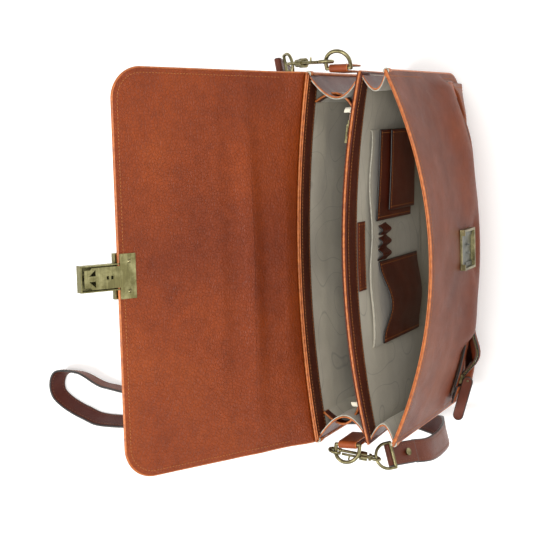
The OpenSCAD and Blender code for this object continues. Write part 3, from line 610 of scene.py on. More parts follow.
def wall_piece(name, body, wall, w, off, t, mats, slot, z0=3.0, inset=0.0, z1=None):
    z1 = PANEL_H if z1 is None else z1
    obj = sheet(name, wall_fn(layered(wall, off + t / 2), w, z0, z1, inset), 0, 0, t, mats,
                us=WALL_COLS, vs=WALL_ROWS)
    return place(obj, body, name.replace("_leather", "").replace("_cloth", ""), slot=slot)


def facing_piece(name, body, wall, w, off, mats, nodes, seed=0.0):
    """Stitched leather strip just below a top edge."""
    z0, z1 = PANEL_H - FACING_H, PANEL_H - 0.5

    def fn(u, v):
        z = z0 + (z1 - z0) * v
        x = (2 * u - 1) * (half_w(z, w) - 2)
        roll = 0.25 * np.sin(math.pi * v)
        return np.stack([x, wall(x, z) + off + np.sign(off or 1) * roll, z], -1)
    obj = sheet(name, fn, 0, 10, FACING_T, mats, pad=0.03, us=WALL_COLS)
    return place(obj, body, *nodes, slot="facing_leather")


def lining_piece(name, body, wall, w, off, way, nodes, seed, amp=3.0):
    z0, z1 = 8.0, PANEL_H - FACING_H + 1

    def fn(u, v):
        z = z0 + (z1 - z0) * v
        x = (2 * u - 1) * (half_w(z, w) - 4)
        return np.stack([x, wall(x, z) + off + way * folds(x, z, amp, seed, w, z0, z1), z], -1)
    obj = sheet(name, fn, 0, 0, 0.8, ("lining",) * 3, us=axis(70, 0.003), vs=axis(50, 0.003))
    return place(obj, body, *nodes, slot="lining")


def stitches(name, body, lines, thread_name="thread", **size):
    """Several stitched lines, each a pair of points and normal, as one piece."""
    obj = merge(name, [stitch_data(points, normal, **size) for points, normal in lines], (thread_name,))
    if body:
        place(obj, body, slot="edge_leather")
    return obj


def build_back():
    w = PANEL_W
    wall_piece("back_panel_leather", "body", back_y, w, 0.0, LEATHER_T, ("body", "trim", "edge"),
               "body_leather")
    facing_piece("back_facing_leather", "body", back_y, w, -0.8, ("trim", "facing", "edge"), ("back_facing",))
    lining_piece("back_lining_cloth", "body", back_y, w, -0.6, -1, ("back_lining",), 0.4, 5.5)
    face = -1.6
    stitches("back_facing_stitches", "body", [
        (line_on(back_y, w, PANEL_H - 5, 5, face), OUT),
        (line_on(back_y, w, PANEL_H - FACING_H + 3, 5, face), OUT)])
    stitches("back_panel_stitches", "body", [(outline(back_y, w, 6, LEATHER_T, 8, 250), IN)])


def smooth(x, a, b):
    """0 below a, 1 above b, soft between; a may be the larger."""
    k = np.clip((x - a) / (b - a), 0, 1)
    return k * k * (3 - 2 * k)


def belly(x, z):
    """Soft overhang of the front leather above its pocket's zip; the left end stays open."""
    peak = ZIP_Z + 17
    rise = np.exp(-((z - peak) / np.where(z > peak, 40.0, 11.0)) ** 2)
    wide = (7.0 + 5.0 * smooth(np.abs(x), 45, 120)) * smooth(x, -122, -96) * smooth(x, 192, 176)
    catch = 1 - np.exp(-(x / 34) ** 4) * smooth(z, ZIP_Z + 16, ZIP_Z + 36)
    return wide * rise * catch


def build_front():
    w = PANEL_W
    rows = np.unique(np.concatenate([WALL_ROWS, np.linspace(0.28, 0.5, 26)]))
    outer = sheet("front_panel_leather",
                  wall_fn(lambda x, z: front_y(x, z) + LEATHER_T / 2 - belly(x, z), w, 3.0, PANEL_H),
                  0, 0, LEATHER_T, ("trim", "body", "edge"), us=axis(70, 0.003), vs=rows)
    place(outer, "front", "front_panel", slot="body_leather")
    facing_piece("front_facing_leather", "front", front_y, w, LEATHER_T + 0.8, ("facing", "trim", "edge"),
                 ("front_facing",))
    lining_piece("front_lining_cloth", "front", front_y, w, LEATHER_T + 0.6, 1, ("front_lining",), 1.9)
    face = LEATHER_T + 1.6
    stitches("front_facing_stitches", "front", [
        (line_on(front_y, w, PANEL_H - 5, 5, face), IN),
        (line_on(front_y, w, PANEL_H - FACING_H + 3, 5, face), IN),
        (line_on(front_y, w, PANEL_H - 5, 5, 0), OUT)])
    stitches("front_panel_stitches", "front", [(outline(front_y, w, 6, 0, 8, 285), OUT)])


def build_divider():
    w = DIVIDER_W
    wall_piece("divider_panel_leather", "divider", divider_y, w, -1.3, 2.6, ("trim", "trim", "edge"),
               "edge_leather", z0=8.0, inset=1.0)
    for name, off, way, seed in (("rear", 2.1, 1, 3.1), ("front", -2.1, -1, 4.4)):
        nodes = ("divider_facings",) if way > 0 else ()
        facing_piece(f"divider_facing_{name}", "divider", divider_y, w, off, ("facing", "facing", "facing"),
                     nodes)
        nodes = ("divider_lining",) if way > 0 else ()
        lining_piece(f"divider_lining_{name}", "divider", divider_y, w, off - way * 0.2, way, nodes, seed,
                     1.6)
        side = IN if way > 0 else OUT
        stitches(f"divider_stitches_{name}", "divider", [
            (line_on(divider_y, w, PANEL_H - 5, 6, off + way * 0.95), side),
            (line_on(divider_y, w, PANEL_H - FACING_H + 3, 6, off + way * 0.95), side)])


def build_corner_rolls():
    """Piped side edges that end in a small roll at each top corner."""
    for body, wall, off, w in (("body", back_y, 0.6, PANEL_W), ("front", front_y, 1.8, PANEL_W)):
        parts = []
        for side in (-1, 1):
            line = side_line(wall, w, side, 0.6, off, 30, PANEL_H - 4, 50)
            radius = 1.9 * np.ones(len(line))
            radius[-3:] = (2.6, 3.0, 2.4)
            parts.append(tube_data(line, radius, 10))
        place(merge(f"{body}_edge_piping", parts, ("edge",)), body, slot="edge_leather")
        ends = []
        for side in (-1, 1):
            z = PANEL_H - 3.0
            x = side * (PANEL_W / 2 - 1)
            y = float(wall(np.float64(x), np.float64(z))) + off
            spiral = [(x + (1 + k * 0.10) * math.cos(k * 0.7), y + (1 + k * 0.10) * math.sin(k * 0.7), z)
                      for k in range(22)]
            ends.append(tube_data(spiral, 0.75, 6))
        place(merge(f"{body}_corner_rolls", ends, ("piping",)), body, slot="edge_leather")


# ---------------------------------------------------------------- base and side gussets

GUSSET_Z0, GUSSET_Z1 = 46.0, PANEL_H - 3


def build_base():
    """Base strip that turns up at both bottom corners, out to the panels it is sewn to."""
    run = PANEL_W / 2 - CORNER_R
    arc = math.pi / 2 * CORNER_R
    total = 2 * run + 2 * arc

    def path(v, depth):
        d = v * total
        angle_l = np.clip((arc - d) / CORNER_R, 0, math.pi / 2)
        angle_r = np.clip((d - arc - 2 * run) / CORNER_R, 0, math.pi / 2)
        r = CORNER_R - depth
        x = np.clip(d - arc, 0, 2 * run) - run - r * np.sin(angle_l) + r * np.sin(angle_r)
        z = CORNER_R - r * np.cos(np.maximum(angle_l, angle_r))
        return x, z

    def fn(u, v, depth=1.2, inset=0.0):
        x, z = path(v, depth)
        zz = np.maximum(z, 3.0)
        y0, y1 = front_y(x, zz) + 1.2 + inset, back_y(x, zz) + 1.2 - inset
        return np.stack([x, y1 + (y0 - y1) * u, z], -1)
    obj = sheet("base_gusset_leather", fn, 26, 90, 2.4, ("trim", "body", "edge"), pad=0.01)
    sides_blend(obj, "base_gusset", slot="gusset_leather")
    obj = sheet("base_lining_cloth", lambda u, v: fn(u, v, 5.2, 3.0), 26, 70, 0.8, ("lining",) * 3, pad=0.01)
    sides_blend(obj, slot="lining")


def gusset_fn(side, near, far, depth, v_shift=0.0):
    """Pleated side wall between two walls; depth moves it into the bag."""
    def fn(u, v):
        z = GUSSET_Z0 + (GUSSET_Z1 - GUSSET_Z0) * v
        fold = depth * np.sin(math.pi * u) ** 0.9 * np.clip(v * 1.25, 0, 1) ** 0.7
        sag = 2.2 * np.sin(math.pi * u) * np.sin(v * 9.0 + 2 * u) * v
        x = side * (PANEL_W / 2 - 1.4 - v_shift - fold + 0.3 * sag)
        y0 = near(x * 0 + side * PANEL_W / 2, z)
        y1 = far(x * 0 + side * PANEL_W / 2, z)
        dip = 7.0 * np.sin(math.pi * u) * np.clip((v - 0.9) / 0.1, 0, 1)
        return np.stack([x, y0 + (y1 - y0) * u, z - dip], -1)
    if side > 0:
        return fn
    return lambda u, v: fn(1 - u, v)


def narrowed(fn, margin=0.05):
    """The same sheet with both of its side edges drawn in."""
    return lambda u, v: fn(margin + (1 - 2 * margin) * u, v)


def build_gussets():
    walls = {"rear": (divider_y, lambda x, z: back_y(x, z) + 0.8, 24.0),
             "front": (lambda x, z: front_y(x, z) + 1.4, divider_y, 17.0)}
    for place_name, (near, far, depth) in walls.items():
        for side, side_name in ((-1, "left"), (1, "right")):
            node = f"{place_name}_gusset_{side_name}"
            fn = gusset_fn(side, near, far, depth)
            obj = sheet(f"{node}_leather", fn, 26, 46, 1.5, ("lining", "gusset", "edge"), pad=0.01)
            sides_blend(obj, node, slot="gusset_leather")
            inner = narrowed(gusset_fn(side, near, far, depth, 1.7))
            obj = sheet(f"{node}_lining", inner, 26, 46, 0.9, ("lining", "lining", "piping"), pad=0.01)
            sides_blend(obj, slot="lining")


# ---------------------------------------------------------------- pockets inside

SLEEVE_HALF, SLEEVE_TOP = 158.0, 266.0


def sleeve_plan(u):
    """Plan of the laptop sleeve: along the divider, with both ends turned back to the back wall."""
    x = np.clip((u - 0.09) / 0.82, 0, 1) * 2 * SLEEVE_HALF - SLEEVE_HALF
    turn = np.clip((0.09 - u) / 0.09, 0, 1) + np.clip((u - 0.91) / 0.09, 0, 1)
    out = np.where(x > 0, 14.0, 20.0)
    x = x + np.sign(x) * out * np.sin(math.pi * 0.86 * turn)
    return x, turn


def sleeve_fn(z0, z1, off, bulge=0.0):
    def fn(u, v):
        z = z0 + (z1 - z0) * v
        x, turn = sleeve_plan(u)
        y0 = divider_y(x, z) + off
        y1 = back_y(x, z) - 3.0
        reach = turn ** 1.15 * np.clip((z - 60) / 120, 0, 1)
        hang = folds(x, z, bulge, 5.2, 2 * SLEEVE_HALF, z0, z1)
        return np.stack([x, y0 + (y1 - y0) * reach + hang, z], -1)
    return fn


def sleeve_blend(obj, node):
    """The sleeve is built hanging on the divider with its turned ends at the back wall; this keeps the piece
    where it was built and hides its CAD node.
    """
    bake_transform(obj)
    finish_piece((node,))


def build_rear_compartment():
    trim_h = 12.0
    obj = sheet("laptop_sleeve_cloth", sleeve_fn(14, SLEEVE_TOP - trim_h + 1, 9.6, 6.0), 90, 40, 1.6,
                ("lining",) * 3, pad=0.003)
    sleeve_blend(obj, "laptop_sleeve")
    obj = sheet("sleeve_trim_leather", sleeve_fn(SLEEVE_TOP - trim_h, SLEEVE_TOP, 10.2), 90, 6, 2.4,
                ("facing", "facing", "edge"), pad=0.003)
    sleeve_blend(obj, "sleeve_trim")
    lines = []
    for side, shift in ((IN, 1.3), (OUT, -1.3)):
        for z in (SLEEVE_TOP - 2.6, SLEEVE_TOP - trim_h + 2.4):
            u = np.linspace(0.1, 0.9, 90)
            points = sleeve_fn(z, z, 10.2)(u, np.zeros_like(u))
            lines.append((points + [0, shift, 0], side))
    stitches("sleeve_trim_stitches", "divider", lines)
    build_middle_zip()


def build_middle_zip():
    """Cream tape with teeth between the divider and the sleeve, its ends curled over."""
    z0, half = 268.0, 150.0

    def tape(u, v):
        x = (2 * u - 1) * half
        lift = 0.4 * np.sin(u * 60.0) * (np.abs(v - 0.5) * 2) ** 2
        return np.stack([x, divider_y(x, x * 0 + z0) + 3.6 + 6.4 * v, z0 + lift + 0 * x], -1)
    parts = [sheet_data(tape, axis(90, 0.003), axis(6, 0.05), 0.9)]
    for side in (-1, 1):
        def tail(u, v, side=side):
            a = u * 4.4
            x = side * (half + 9 * np.sin(a * 0.62) * (1 - 0.12 * a))
            y = divider_y(x * 0 + side * half, x * 0 + z0) + 3.8 + 6 * v + 0.8 * a
            return np.stack([x, y, z0 + 5.0 * (1 - np.cos(a * 0.8))], -1)
        parts.append(sheet_data(tail, axis(18, 0.02), axis(4, 0.05), 0.9))
    place(merge("middle_zip_tape", parts, ("cream",) * 3), "divider", "middle_zip", slot="zip_cream")
    x = np.linspace(-half + 2, half - 2, 200)
    centre = np.stack([x, divider_y(x, x * 0 + z0) + 6.8, x * 0 + z0 + 0.7], -1)
    obj = merge("middle_zip_teeth", [teeth_data(centre, IN)], ("cream",))
    place(obj, "divider", slot="zip_cream")


def teeth_data(points, across, pitch=1.5, size=(2.6, 1.0, 1.1)):
    """Interlocking zip teeth along a line; across points from one tape to the other."""
    q, tangent = resample(points, pitch)
    shape, faces = capsule(6, 3)
    verts, all_faces = [], []
    for k in range(len(q)):
        side = unit(across - tangent[k] * np.dot(across, tangent[k]))
        up = np.cross(tangent[k], side)
        sign = 1 if k % 2 else -1
        local = shape * (np.array(size) / 2)
        world = q[k] + side * sign * 0.7 + local @ np.stack([side, tangent[k], up])
        all_faces += [tuple(i + k * len(shape) for i in f) for f in faces]
        verts.append(world)
    return np.concatenate(verts), all_faces, [0] * len(all_faces)


def pocket_patch(name, wall, x0, x1, z0, z1, t, mats, nodes, slot, body="divider", nu=40, nv=26, pad=0.01):
    obj = sheet(name, patch_fn(wall, x0, x1, z0, z1), nu, nv, t, mats, pad=pad)
    return place(obj, body, *nodes, slot=slot)


def edge_stitches(name, wall, x0, x1, z0, z1, off, sides="top", normal=OUT, body="divider", inset=3.0):
    """Stitches round a patch: its top edge, or its whole outline."""
    def at(x, z):
        return np.stack([x, wall(x, z) + off, z], -1)
    n = 60
    xs, zs = np.linspace(x0 + inset, x1 - inset, n), np.linspace(z0 + inset, z1 - inset, n)
    lines = [at(xs, xs * 0 + z1 - inset)]
    if sides == "all":
        lines.append(at(xs, xs * 0 + z0 + inset))
    if sides in ("all", "sides"):
        lines += [at(zs * 0 + x0 + inset, zs), at(zs * 0 + x1 - inset, zs)]
    stitches(name, body, [(line, normal) for line in lines])


# Pockets on the divider's front face: left, right, foot and top
ORGANIZER = (-100, 132, 60, 236)
PHONE = (36, 132, 120, 228)
PHONE_LAYER = (46, 132, 120, 202)
CARGO = (-98, -10, 90, 214)
LABEL = (-36, 36, PANEL_H - FACING_H - 20, PANEL_H - FACING_H - 1)


def build_front_compartment():
    """Pockets, pen loops and the plain patch on the divider's front face."""
    base = layered(divider_y, -3.8)

    def loose(x, z):
        rise = np.clip((z - 60) / 176, 0, 1) ** 2 * np.sin(math.pi * np.clip((x + 100) / 232, 0, 1)) ** 0.5
        return base(x, z) - rise * (4.2 + 1.6 * np.sin(x / 17.0)) - folds(x - 16, z, 0.8, 2.2, 232, 60, 240)
    pocket_patch("organizer_pocket_cloth", loose, *ORGANIZER, 1.2, ("lining",) * 3,
                 ("organizer_pocket",), "lining", nu=60)
    x = np.linspace(ORGANIZER[0], ORGANIZER[1], 120)
    z = ORGANIZER[3] + 1.5 * np.sin(x / 40.0)
    pipe = np.stack([x, loose(x, z) - 0.4, z], -1)
    place(merge("organizer_piping", [tube_data(pipe, 0.9, 10)], ("piping",)), "divider", slot="lining")
    black = ("trim", "pocket", "edge_dark")

    def phone(off):
        return lambda x, z: divider_y(x, z) - off - 1.5 * np.sin(math.pi * (x - 36) / 96) * z / 230
    pocket_patch("phone_pocket_leather", phone(11.5), *PHONE, 1.8, black, ("phone_pocket",),
                 "pocket_leather")
    edge_stitches("phone_pocket_stitches", phone(11.5), *PHONE, -1.0, "sides")
    pocket_patch("phone_pocket_layer", phone(15.5), *PHONE_LAYER, 1.8, black, (), "pocket_leather")
    edge_stitches("phone_layer_stitches", phone(15.5), *PHONE_LAYER, -1.0, "sides")
    loop_w, pen_x0 = 13.0, -8.0

    def wavy(x, z):
        return divider_y(x, z) - 7.6 - 6 * np.sin(math.pi * (x - pen_x0) / loop_w) ** 2
    pocket_patch("pen_loops_leather", wavy, pen_x0, pen_x0 + 3 * loop_w, 190, 216, 1.6, black, ("pen_loops",),
                 "pocket_leather", nu=48, nv=8)

    def cargo(x, z):
        span = np.clip((x - CARGO[0]) / (CARGO[1] - CARGO[0]), 0, 1)
        return divider_y(x, z) - 8.6 - 16 * np.sin(math.pi * span) ** 2 * z / PANEL_H
    pocket_patch("large_pocket_leather", cargo, *CARGO, 1.8, black, ("large_pocket",),
                 "pocket_leather", nu=46)
    edge_stitches("large_pocket_stitches", cargo, *CARGO, -1.0, "sides")
    patch = layered(divider_y, -3.6)
    pocket_patch("label_patch_leather", patch, *LABEL, 1.2, ("trim", "trim", "trim"),
                 ("label_patch",), "facing_leather", nu=30, nv=8)
    edge_stitches("label_patch_stitches", patch, *LABEL, -0.7, "all", inset=2.2)


# ---------------------------------------------------------------- front pocket and zip

ZIP_BOW = FRONT_BOW * float(swell(np.float64(ZIP_Z)))
ZIP_R = ((PANEL_W / 2) ** 2 + ZIP_BOW ** 2) / (2 * ZIP_BOW) + 1.6
ZIP_HALF_A = math.asin(163.0 / ZIP_R)
ZIP_TAPE = 20.0
PIVOT = np.array(JOINTS["zip_puller_swing"]["pos_m"]) / MM - ZIP_ARC
PIVOT_A = math.atan2(PIVOT[0], -PIVOT[1])
PIVOT_OUT = math.hypot(PIVOT[0], PIVOT[1]) - ZIP_R
GAPE = 14.0                 # how far the open mouth of the pocket stands off near its left end


def on_zip(angle, along, out, up):
    """Point in the zip's frame at an angle of its arc."""
    ex = np.stack([np.cos(angle), np.sin(angle), 0 * angle], -1)
    ey = np.stack([np.sin(angle), -np.cos(angle), 0 * angle], -1)
    return (ZIP_ARC + ex * np.asarray(along)[..., None] + ey * (ZIP_R + np.asarray(out))[..., None]
            + np.asarray(up)[..., None] * np.array([0, 0, 1.0]))


def gape(x):
    """Extra stand-off of the pocket's mouth."""
    return GAPE * np.exp(-((x + 127) / 21) ** 2) + 0.3 * GAPE * np.exp(-((x - 120) / 34) ** 2)


def box_side(x):
    """Extra stand-off of the pocket's full lower part toward its ends."""
    near = np.clip((np.abs(x) - 96) / 54, 0, 1)
    far = np.clip((181 - np.abs(x)) / 12, 0, 1)
    full = np.where(x < 0, 14.0, 8.0)
    return full * near * near * (3 - 2 * near) * np.sqrt(far)


def band(name, r, z0, z1, half_a, t, mats, body="front", nodes=(), slot=None, wave=0.0, loose=0.0):
    def fn(u, v):
        a = (2 * u - 1) * half_a
        up = z0 + (z1 - z0) * v
        off = r - wave * np.sin(math.pi * v) + loose * gape(ZIP_R * np.sin(a))
        return on_zip(a, 0 * a, off, up)
    obj = sheet(name, fn, 70, 8, t, mats, pad=0.004)
    return place(obj, body, *nodes, slot=slot)


def build_front_pocket():
    half, z0, z1 = 181.0, 14.0, ZIP_Z - ZIP_TAPE / 2 + 3.5

    def pouch(x, z):
        rise = np.sin(math.pi / 2 * np.clip((z - z0) / 60, 0, 1))
        mouth = np.clip((z - 88) / (z1 - 88), 0, 1) ** 1.6
        bulge = 0.8 * np.cos(math.pi / 2 * x / half) * rise
        return front_y(x, z) - 1.8 - bulge - rise * ((1 - mouth) * box_side(x) + mouth * gape(x))
    leather_mats = ("trim", "body", "edge_dark")
    pocket_patch("front_pocket_leather", layered(pouch, -1.0), -half, half, z0, z1, 2.0, leather_mats,
                 ("front_pocket",), "body_leather", "front", nu=60, nv=24, pad=0.005)
    edge_stitches("front_pocket_stitches", layered(pouch, -2.0), -half, half, z0, z1, -0.1, "all",
                  body="front", inset=4)
    teeth_half = 2.9
    band("zip_welt_upper", 3.1, teeth_half, ZIP_TAPE / 2 + 4, ZIP_HALF_A, 1.8, leather_mats,
         slot="body_leather", wave=-0.4)
    band("zip_welt_lower", 3.1, -ZIP_TAPE / 2 + 1, -teeth_half, ZIP_HALF_A, 1.8, leather_mats,
         slot="body_leather", wave=-0.4, loose=1.0)
    band("pocket_zip_tape", 0.5, 1.0, ZIP_TAPE / 2, ZIP_HALF_A + 0.02, 0.9, ("zip_tape",) * 3,
         nodes=("pocket_zip",), slot="zip_brass")
    band("pocket_zip_tape_low", 0.5, -ZIP_TAPE / 2, -1.0, ZIP_HALF_A + 0.02, 0.9, ("zip_tape",) * 3,
         slot="zip_brass", loose=1.0)
    # Near-black band just inside the pocket's mouth: painted shade in the open gap between the welts
    band("pocket_mouth_shade", -0.4, -ZIP_TAPE / 2 + 2, ZIP_TAPE / 2 - 4, ZIP_HALF_A, 0.6, ("painted_shade",) * 3,
         slot="lining")
    a = np.linspace(-ZIP_HALF_A, ZIP_HALF_A, 200)
    rows = []
    for up, loose in ((0.9, 0.0), (-0.9, 1.0)):
        line = on_zip(a, 0 * a, 1.9 + loose * gape(ZIP_R * np.sin(a)), up + 0 * a)
        rows.append(teeth_data(line, np.array([0, 0, 1.0]), 1.5, (2.2, 1.1, 1.6)))
    place(merge("pocket_zip_teeth", rows, ("teeth",)), "front", slot="zip_brass")
    tabs = []
    lines = []
    for side in (-1, 1):
        centre = side * (ZIP_HALF_A + math.radians(1))

        def tab(u, v, centre=centre):
            along = 19 * (u - 0.5)
            up = 22 * (v - 0.5)
            return on_zip(centre + 0 * u, along, 4.8 + 0.9 * np.cos(math.pi * (v - 0.5)), up)
        tabs.append(sheet_data(tab, axis(10, 0.04), axis(12, 0.03), 2.0))
        ring = [(-7, -8.5), (7, -8.5), (7, 8.5), (-7, 8.5), (-7, -8.5)]
        path = np.array([on_zip(np.float64(centre), np.float64(x), np.float64(6.3), np.float64(z))
                         for x, z in ring])
        dense = np.concatenate([np.linspace(path[k], path[k + 1], 12) for k in range(4)])
        out = np.array([math.sin(centre), -math.cos(centre), 0])
        lines.append((dense, out))
    place(merge("zip_end_tabs_leather", tabs, ("tab", "tab", "edge_dark")), "front", "zip_end_tabs",
          slot="gusset_leather")
    stitches("zip_tab_stitches", "front", lines)
    build_puller()


def build_puller():
    """Leather zip puller with dark edges and a rounded end."""
    a = np.float64(PIVOT_A)
    length = 51.5

    def fn(u, v):
        d = length * v - 4.0
        end = np.clip((d - (length - 9.5)) / 5.5, 0, 1)
        start = np.clip((1.0 - d) / 5.0, 0, 1)
        half = 5.2 * np.sqrt(np.maximum(1 - end ** 2, 0.02)) * np.sqrt(np.maximum(1 - start ** 2, 0.02))
        across = (2 * u - 1) * half
        return on_zip(a + 0 * u, -d, PIVOT_OUT + across, 0.0 * u + 0.5 * np.sin(v * 3))
    obj = sheet("zip_puller_leather", fn, 8, 40, 2.2, ("strap", "strap", "edge_dark"), pad=0.02)
    place(obj, "zip_puller", "zip_puller", slot="strap_leather")


# ---------------------------------------------------------------- flap

SEAM_S = 60.0
STITCH_IN = 4.6


def ridge(x, s):
    """Two soft ridges across the flap where it has been bent."""
    worn = 0.6 + 0.4 * np.cos(x / 70.0)
    low = np.exp(-((s - 61 - x / 50) / 11.0) ** 2) * 5.0 + np.exp(-((s - 98) / 8.0) ** 2) * 1.1
    buckle = 0.6 * np.sin(x / 48.0 + 0.6) * np.sin(s / 33.0)
    return worn * low + buckle


def flap_edge(s):
    """Half width of the flap with its rounded free corners."""
    sc = FLAP_L - FLAP_CORNER_R
    hw = flap_half(np.float64(sc))
    inner = hw - FLAP_CORNER_R + np.sqrt(np.maximum(FLAP_CORNER_R ** 2 - np.maximum(s - sc, 0) ** 2, 0))
    return np.where(s > sc, inner, flap_half(s))


def flap_main_fn(u, v):
    s = SEAM_S + (FLAP_L - SEAM_S) * v
    x = (2 * u - 1) * flap_edge(s)
    return flap_point(x, s, ridge(x, s) - FLAP_T / 2)


def root_profile(u, v):
    """From the outside of the back wall up over the hinge line into the flap's plane."""
    z_low, z_top, s_on = 256.0, 284.0, 20.0
    h = PANEL_W / 2
    x = (2 * u - 1) * h
    wall_out = LEATHER_T + FLAP_T / 2 + 0.1
    a = np.clip(v / 0.25, 0, 1)
    b = np.clip((v - 0.25) / 0.4, 0, 1)
    c = np.clip((v - 0.65) / 0.35, 0, 1)
    z = z_low + (z_top - z_low) * a
    on_wall = np.stack([x, back_y(x, z) + wall_out, z], -1)
    s = s_on + (SEAM_S - s_on) * c
    xf = (2 * u - 1) * flap_half(s)
    on_flap = flap_point(xf, s, ridge(xf, s) - FLAP_T / 2)
    p1 = on_wall + np.array([0, 0.3, 8.0])
    p2 = on_flap - FLAP_S * 9.0
    b = b[..., None]
    return (on_wall * (1 - b) ** 3 + 3 * p1 * b * (1 - b) ** 2 + 3 * p2 * b ** 2 * (1 - b)
            + on_flap * b ** 3)


def flap_line(s0, s1, n_face):
    """Stitch line down both sides of the flap between two distances."""
    lines = []
    for side in (-1, 1):
        s = np.linspace(s0, s1, 60)
        x = side * (flap_half(s) - STITCH_IN)
        lines.append(flap_point(x, s, ridge(x, s) + n_face))
    return lines


def flap_perimeter(n_face):
    """Stitch line down one side, round the free edge and up the other side."""
    sc, r = FLAP_L - FLAP_CORNER_R, FLAP_CORNER_R - STITCH_IN
    hw = float(flap_half(np.float64(sc)))
    turn = np.linspace(0, math.pi / 2, 20)
    s_side = np.linspace(SEAM_S, sc, 50)
    cx = hw - FLAP_CORNER_R
    right = [(float(flap_half(s)) - STITCH_IN, s) for s in s_side]
    right += [(cx + r * math.cos(a), sc + r * math.sin(a)) for a in turn]
    right += [(x, FLAP_L - STITCH_IN) for x in np.linspace(cx, 0, 40)]
    both = right + [(-x, s) for x, s in right[::-1]]
    xs, ss = np.array(both).T
    return flap_point(xs, ss, ridge(xs, ss) + n_face)


def build_flap():
    mats = ("flap_out", "flap", "edge")
    sc = (FLAP_L - FLAP_CORNER_R - SEAM_S) / (FLAP_L - SEAM_S)
    corner = np.sin(np.linspace(0, math.pi / 2, 18))
    rows = np.concatenate([np.linspace(0, sc, 40)[:-1], sc + (1 - sc) * corner])
    main = sheet("flap_front_leather", flap_main_fn, 0, 0, FLAP_T, mats, us=axis(90, 0.003), vs=rows,
                 open_end=0)
    fold_a, fold_b = FLAP_TOP_L - 16, FLAP_TOP_L + 16
    root = sheet("flap_root_leather", root_profile, 0, 0, FLAP_T, mats, us=axis(90, 0.003), vs=axis(60, 0.01),
                 open_end=1)
    start, end = (0, 0.060, 0.284), tuple(flap_point(0.0, 19.0, 0.0) * MM)

    def bend_fold(obj):
        tuple(flap_point(0.0, fold_a, 0.0) * MM)
        tuple(flap_point(0.0, fold_b, 0.0) * MM)
        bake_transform(obj)

    def bend_hinge(obj):
        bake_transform(obj)
    bend_fold(main)
    bend_hinge(root)
    finish_piece(("flap_top", "flap_front"))
    finish_piece(())
    for name, n_face, normal in (("inner", 0.05, FLAP_N), ("outer", -FLAP_T - 0.05, -FLAP_N)):
        obj = stitches(f"flap_stitches_{name}", None, [(flap_perimeter(n_face), normal)])
        bend_fold(obj)
        finish_piece(())
        obj = stitches(f"flap_root_stitches_{name}", None,
                       [(line, normal) for line in flap_line(22, SEAM_S, n_face)])
        bend_hinge(obj)
        finish_piece(())


# ---------------------------------------------------------------- straps and handle


STRAP_W, STRAP_T = 23.0, 3.0


def strap_stations():
    """Centre and width direction of each cross-section of the CAD strap, in order from its left end."""
    mesh = frame["nodes"]["shoulder_strap"].data
    points = np.array([v.co for v in mesh.vertices], float) / MM
    points = merge_close(np.unique(np.round(points, 3), axis=0))
    centres, ways = pair_up(pair_up(points, STRAP_T)[0], STRAP_W)
    start = int(np.argmax(centres[:, 2] * (centres[:, 0] < -150)))
    order, left = [start], set(range(len(centres))) - {start}
    while left:
        here = centres[order[-1]]
        step = here - centres[order[-2]] if len(order) > 1 else np.array([0, 0, -8.0])
        options = np.array(sorted(left))
        cost = (np.linalg.norm(centres[options] - here, axis=1)
                + 0.3 * np.linalg.norm(centres[options] - here - step, axis=1))
        best = int(options[np.argmin(cost)])
        order.append(best)
        left.discard(best)
    centres, ways = centres[order], ways[order]
    for k in range(1, len(ways)):
        if np.dot(ways[k], ways[k - 1]) < 0:
            ways[k] *= -1
    return centres, ways


def merge_close(points, tol=0.05):
    """The points without those that repeat one already kept."""
    kept = []
    for p in points:
        if not kept or np.min(np.linalg.norm(np.array(kept) - p, axis=1)) > tol:
            kept.append(p)
    return np.array(kept)


def pair_up(points, distance):
    """Midpoints and directions of the pairs of points that are a given distance apart."""
    gaps = np.abs(np.linalg.norm(points[:, None] - points[None], axis=2) - distance)
    np.fill_diagonal(gaps, 1e9)
    used, mids, ways = set(), [], []
    for flat in np.argsort(gaps, axis=None)[: 4 * len(points)]:
        i, j = divmod(int(flat), len(points))
        if i in used or j in used:
            continue
        used |= {i, j}
        mids.append((points[i] + points[j]) / 2)
        ways.append(unit(points[j] - points[i]))
    return np.array(mids), np.array(ways)


def smooth_run(values, n):
    """Catmull-Rom curve through the rows of values."""
    k = np.linspace(0, len(values) - 1.0001, n)
    i = k.astype(int)
    f = (k - i)[:, None]
    last = len(values) - 1
    a, b, c, d = (values[np.clip(i + m, 0, last)] for m in (-1, 0, 1, 2))
    return 0.5 * (2 * b + (c - a) * f + (2 * a - 5 * b + 4 * c - d) * f ** 2
                  + (3 * b - a - 3 * c + d) * f ** 3)


def build_strap():
    """Ribbon through the CAD strap's cross-sections, stitched along both edges on both faces."""
    centres, ways = strap_stations()
    n = 420
    line, across = smooth_run(centres, n), unit(smooth_run(ways, n))
    face = unit(np.cross(unit(np.gradient(line, axis=0)), across))

    def fn(u, v):
        k = np.clip(np.round(v * (n - 1)).astype(int), 0, n - 1)
        crown = 0.35 * (1 - (2 * u - 1) ** 2)
        return line[k] + across[k] * ((u - 0.5) * STRAP_W)[..., None] + face[k] * crown[..., None]
    obj = sheet("shoulder_strap_leather", fn, 0, 0, STRAP_T, ("strap", "strap_in", "edge_dark"),
                us=axis(8, 0.05), vs=np.linspace(0, 1, n))
    place(obj, "body", "shoulder_strap", slot="strap_leather")
    lines = [(line + across * side * 8.6 + face * way * 1.6, face * way)
             for side in (-1, 1) for way in (-1, 1)]
    stitches("shoulder_strap_stitches", "body", lines, "thread_dark", pitch=4.2, length=2.8, width=0.7)


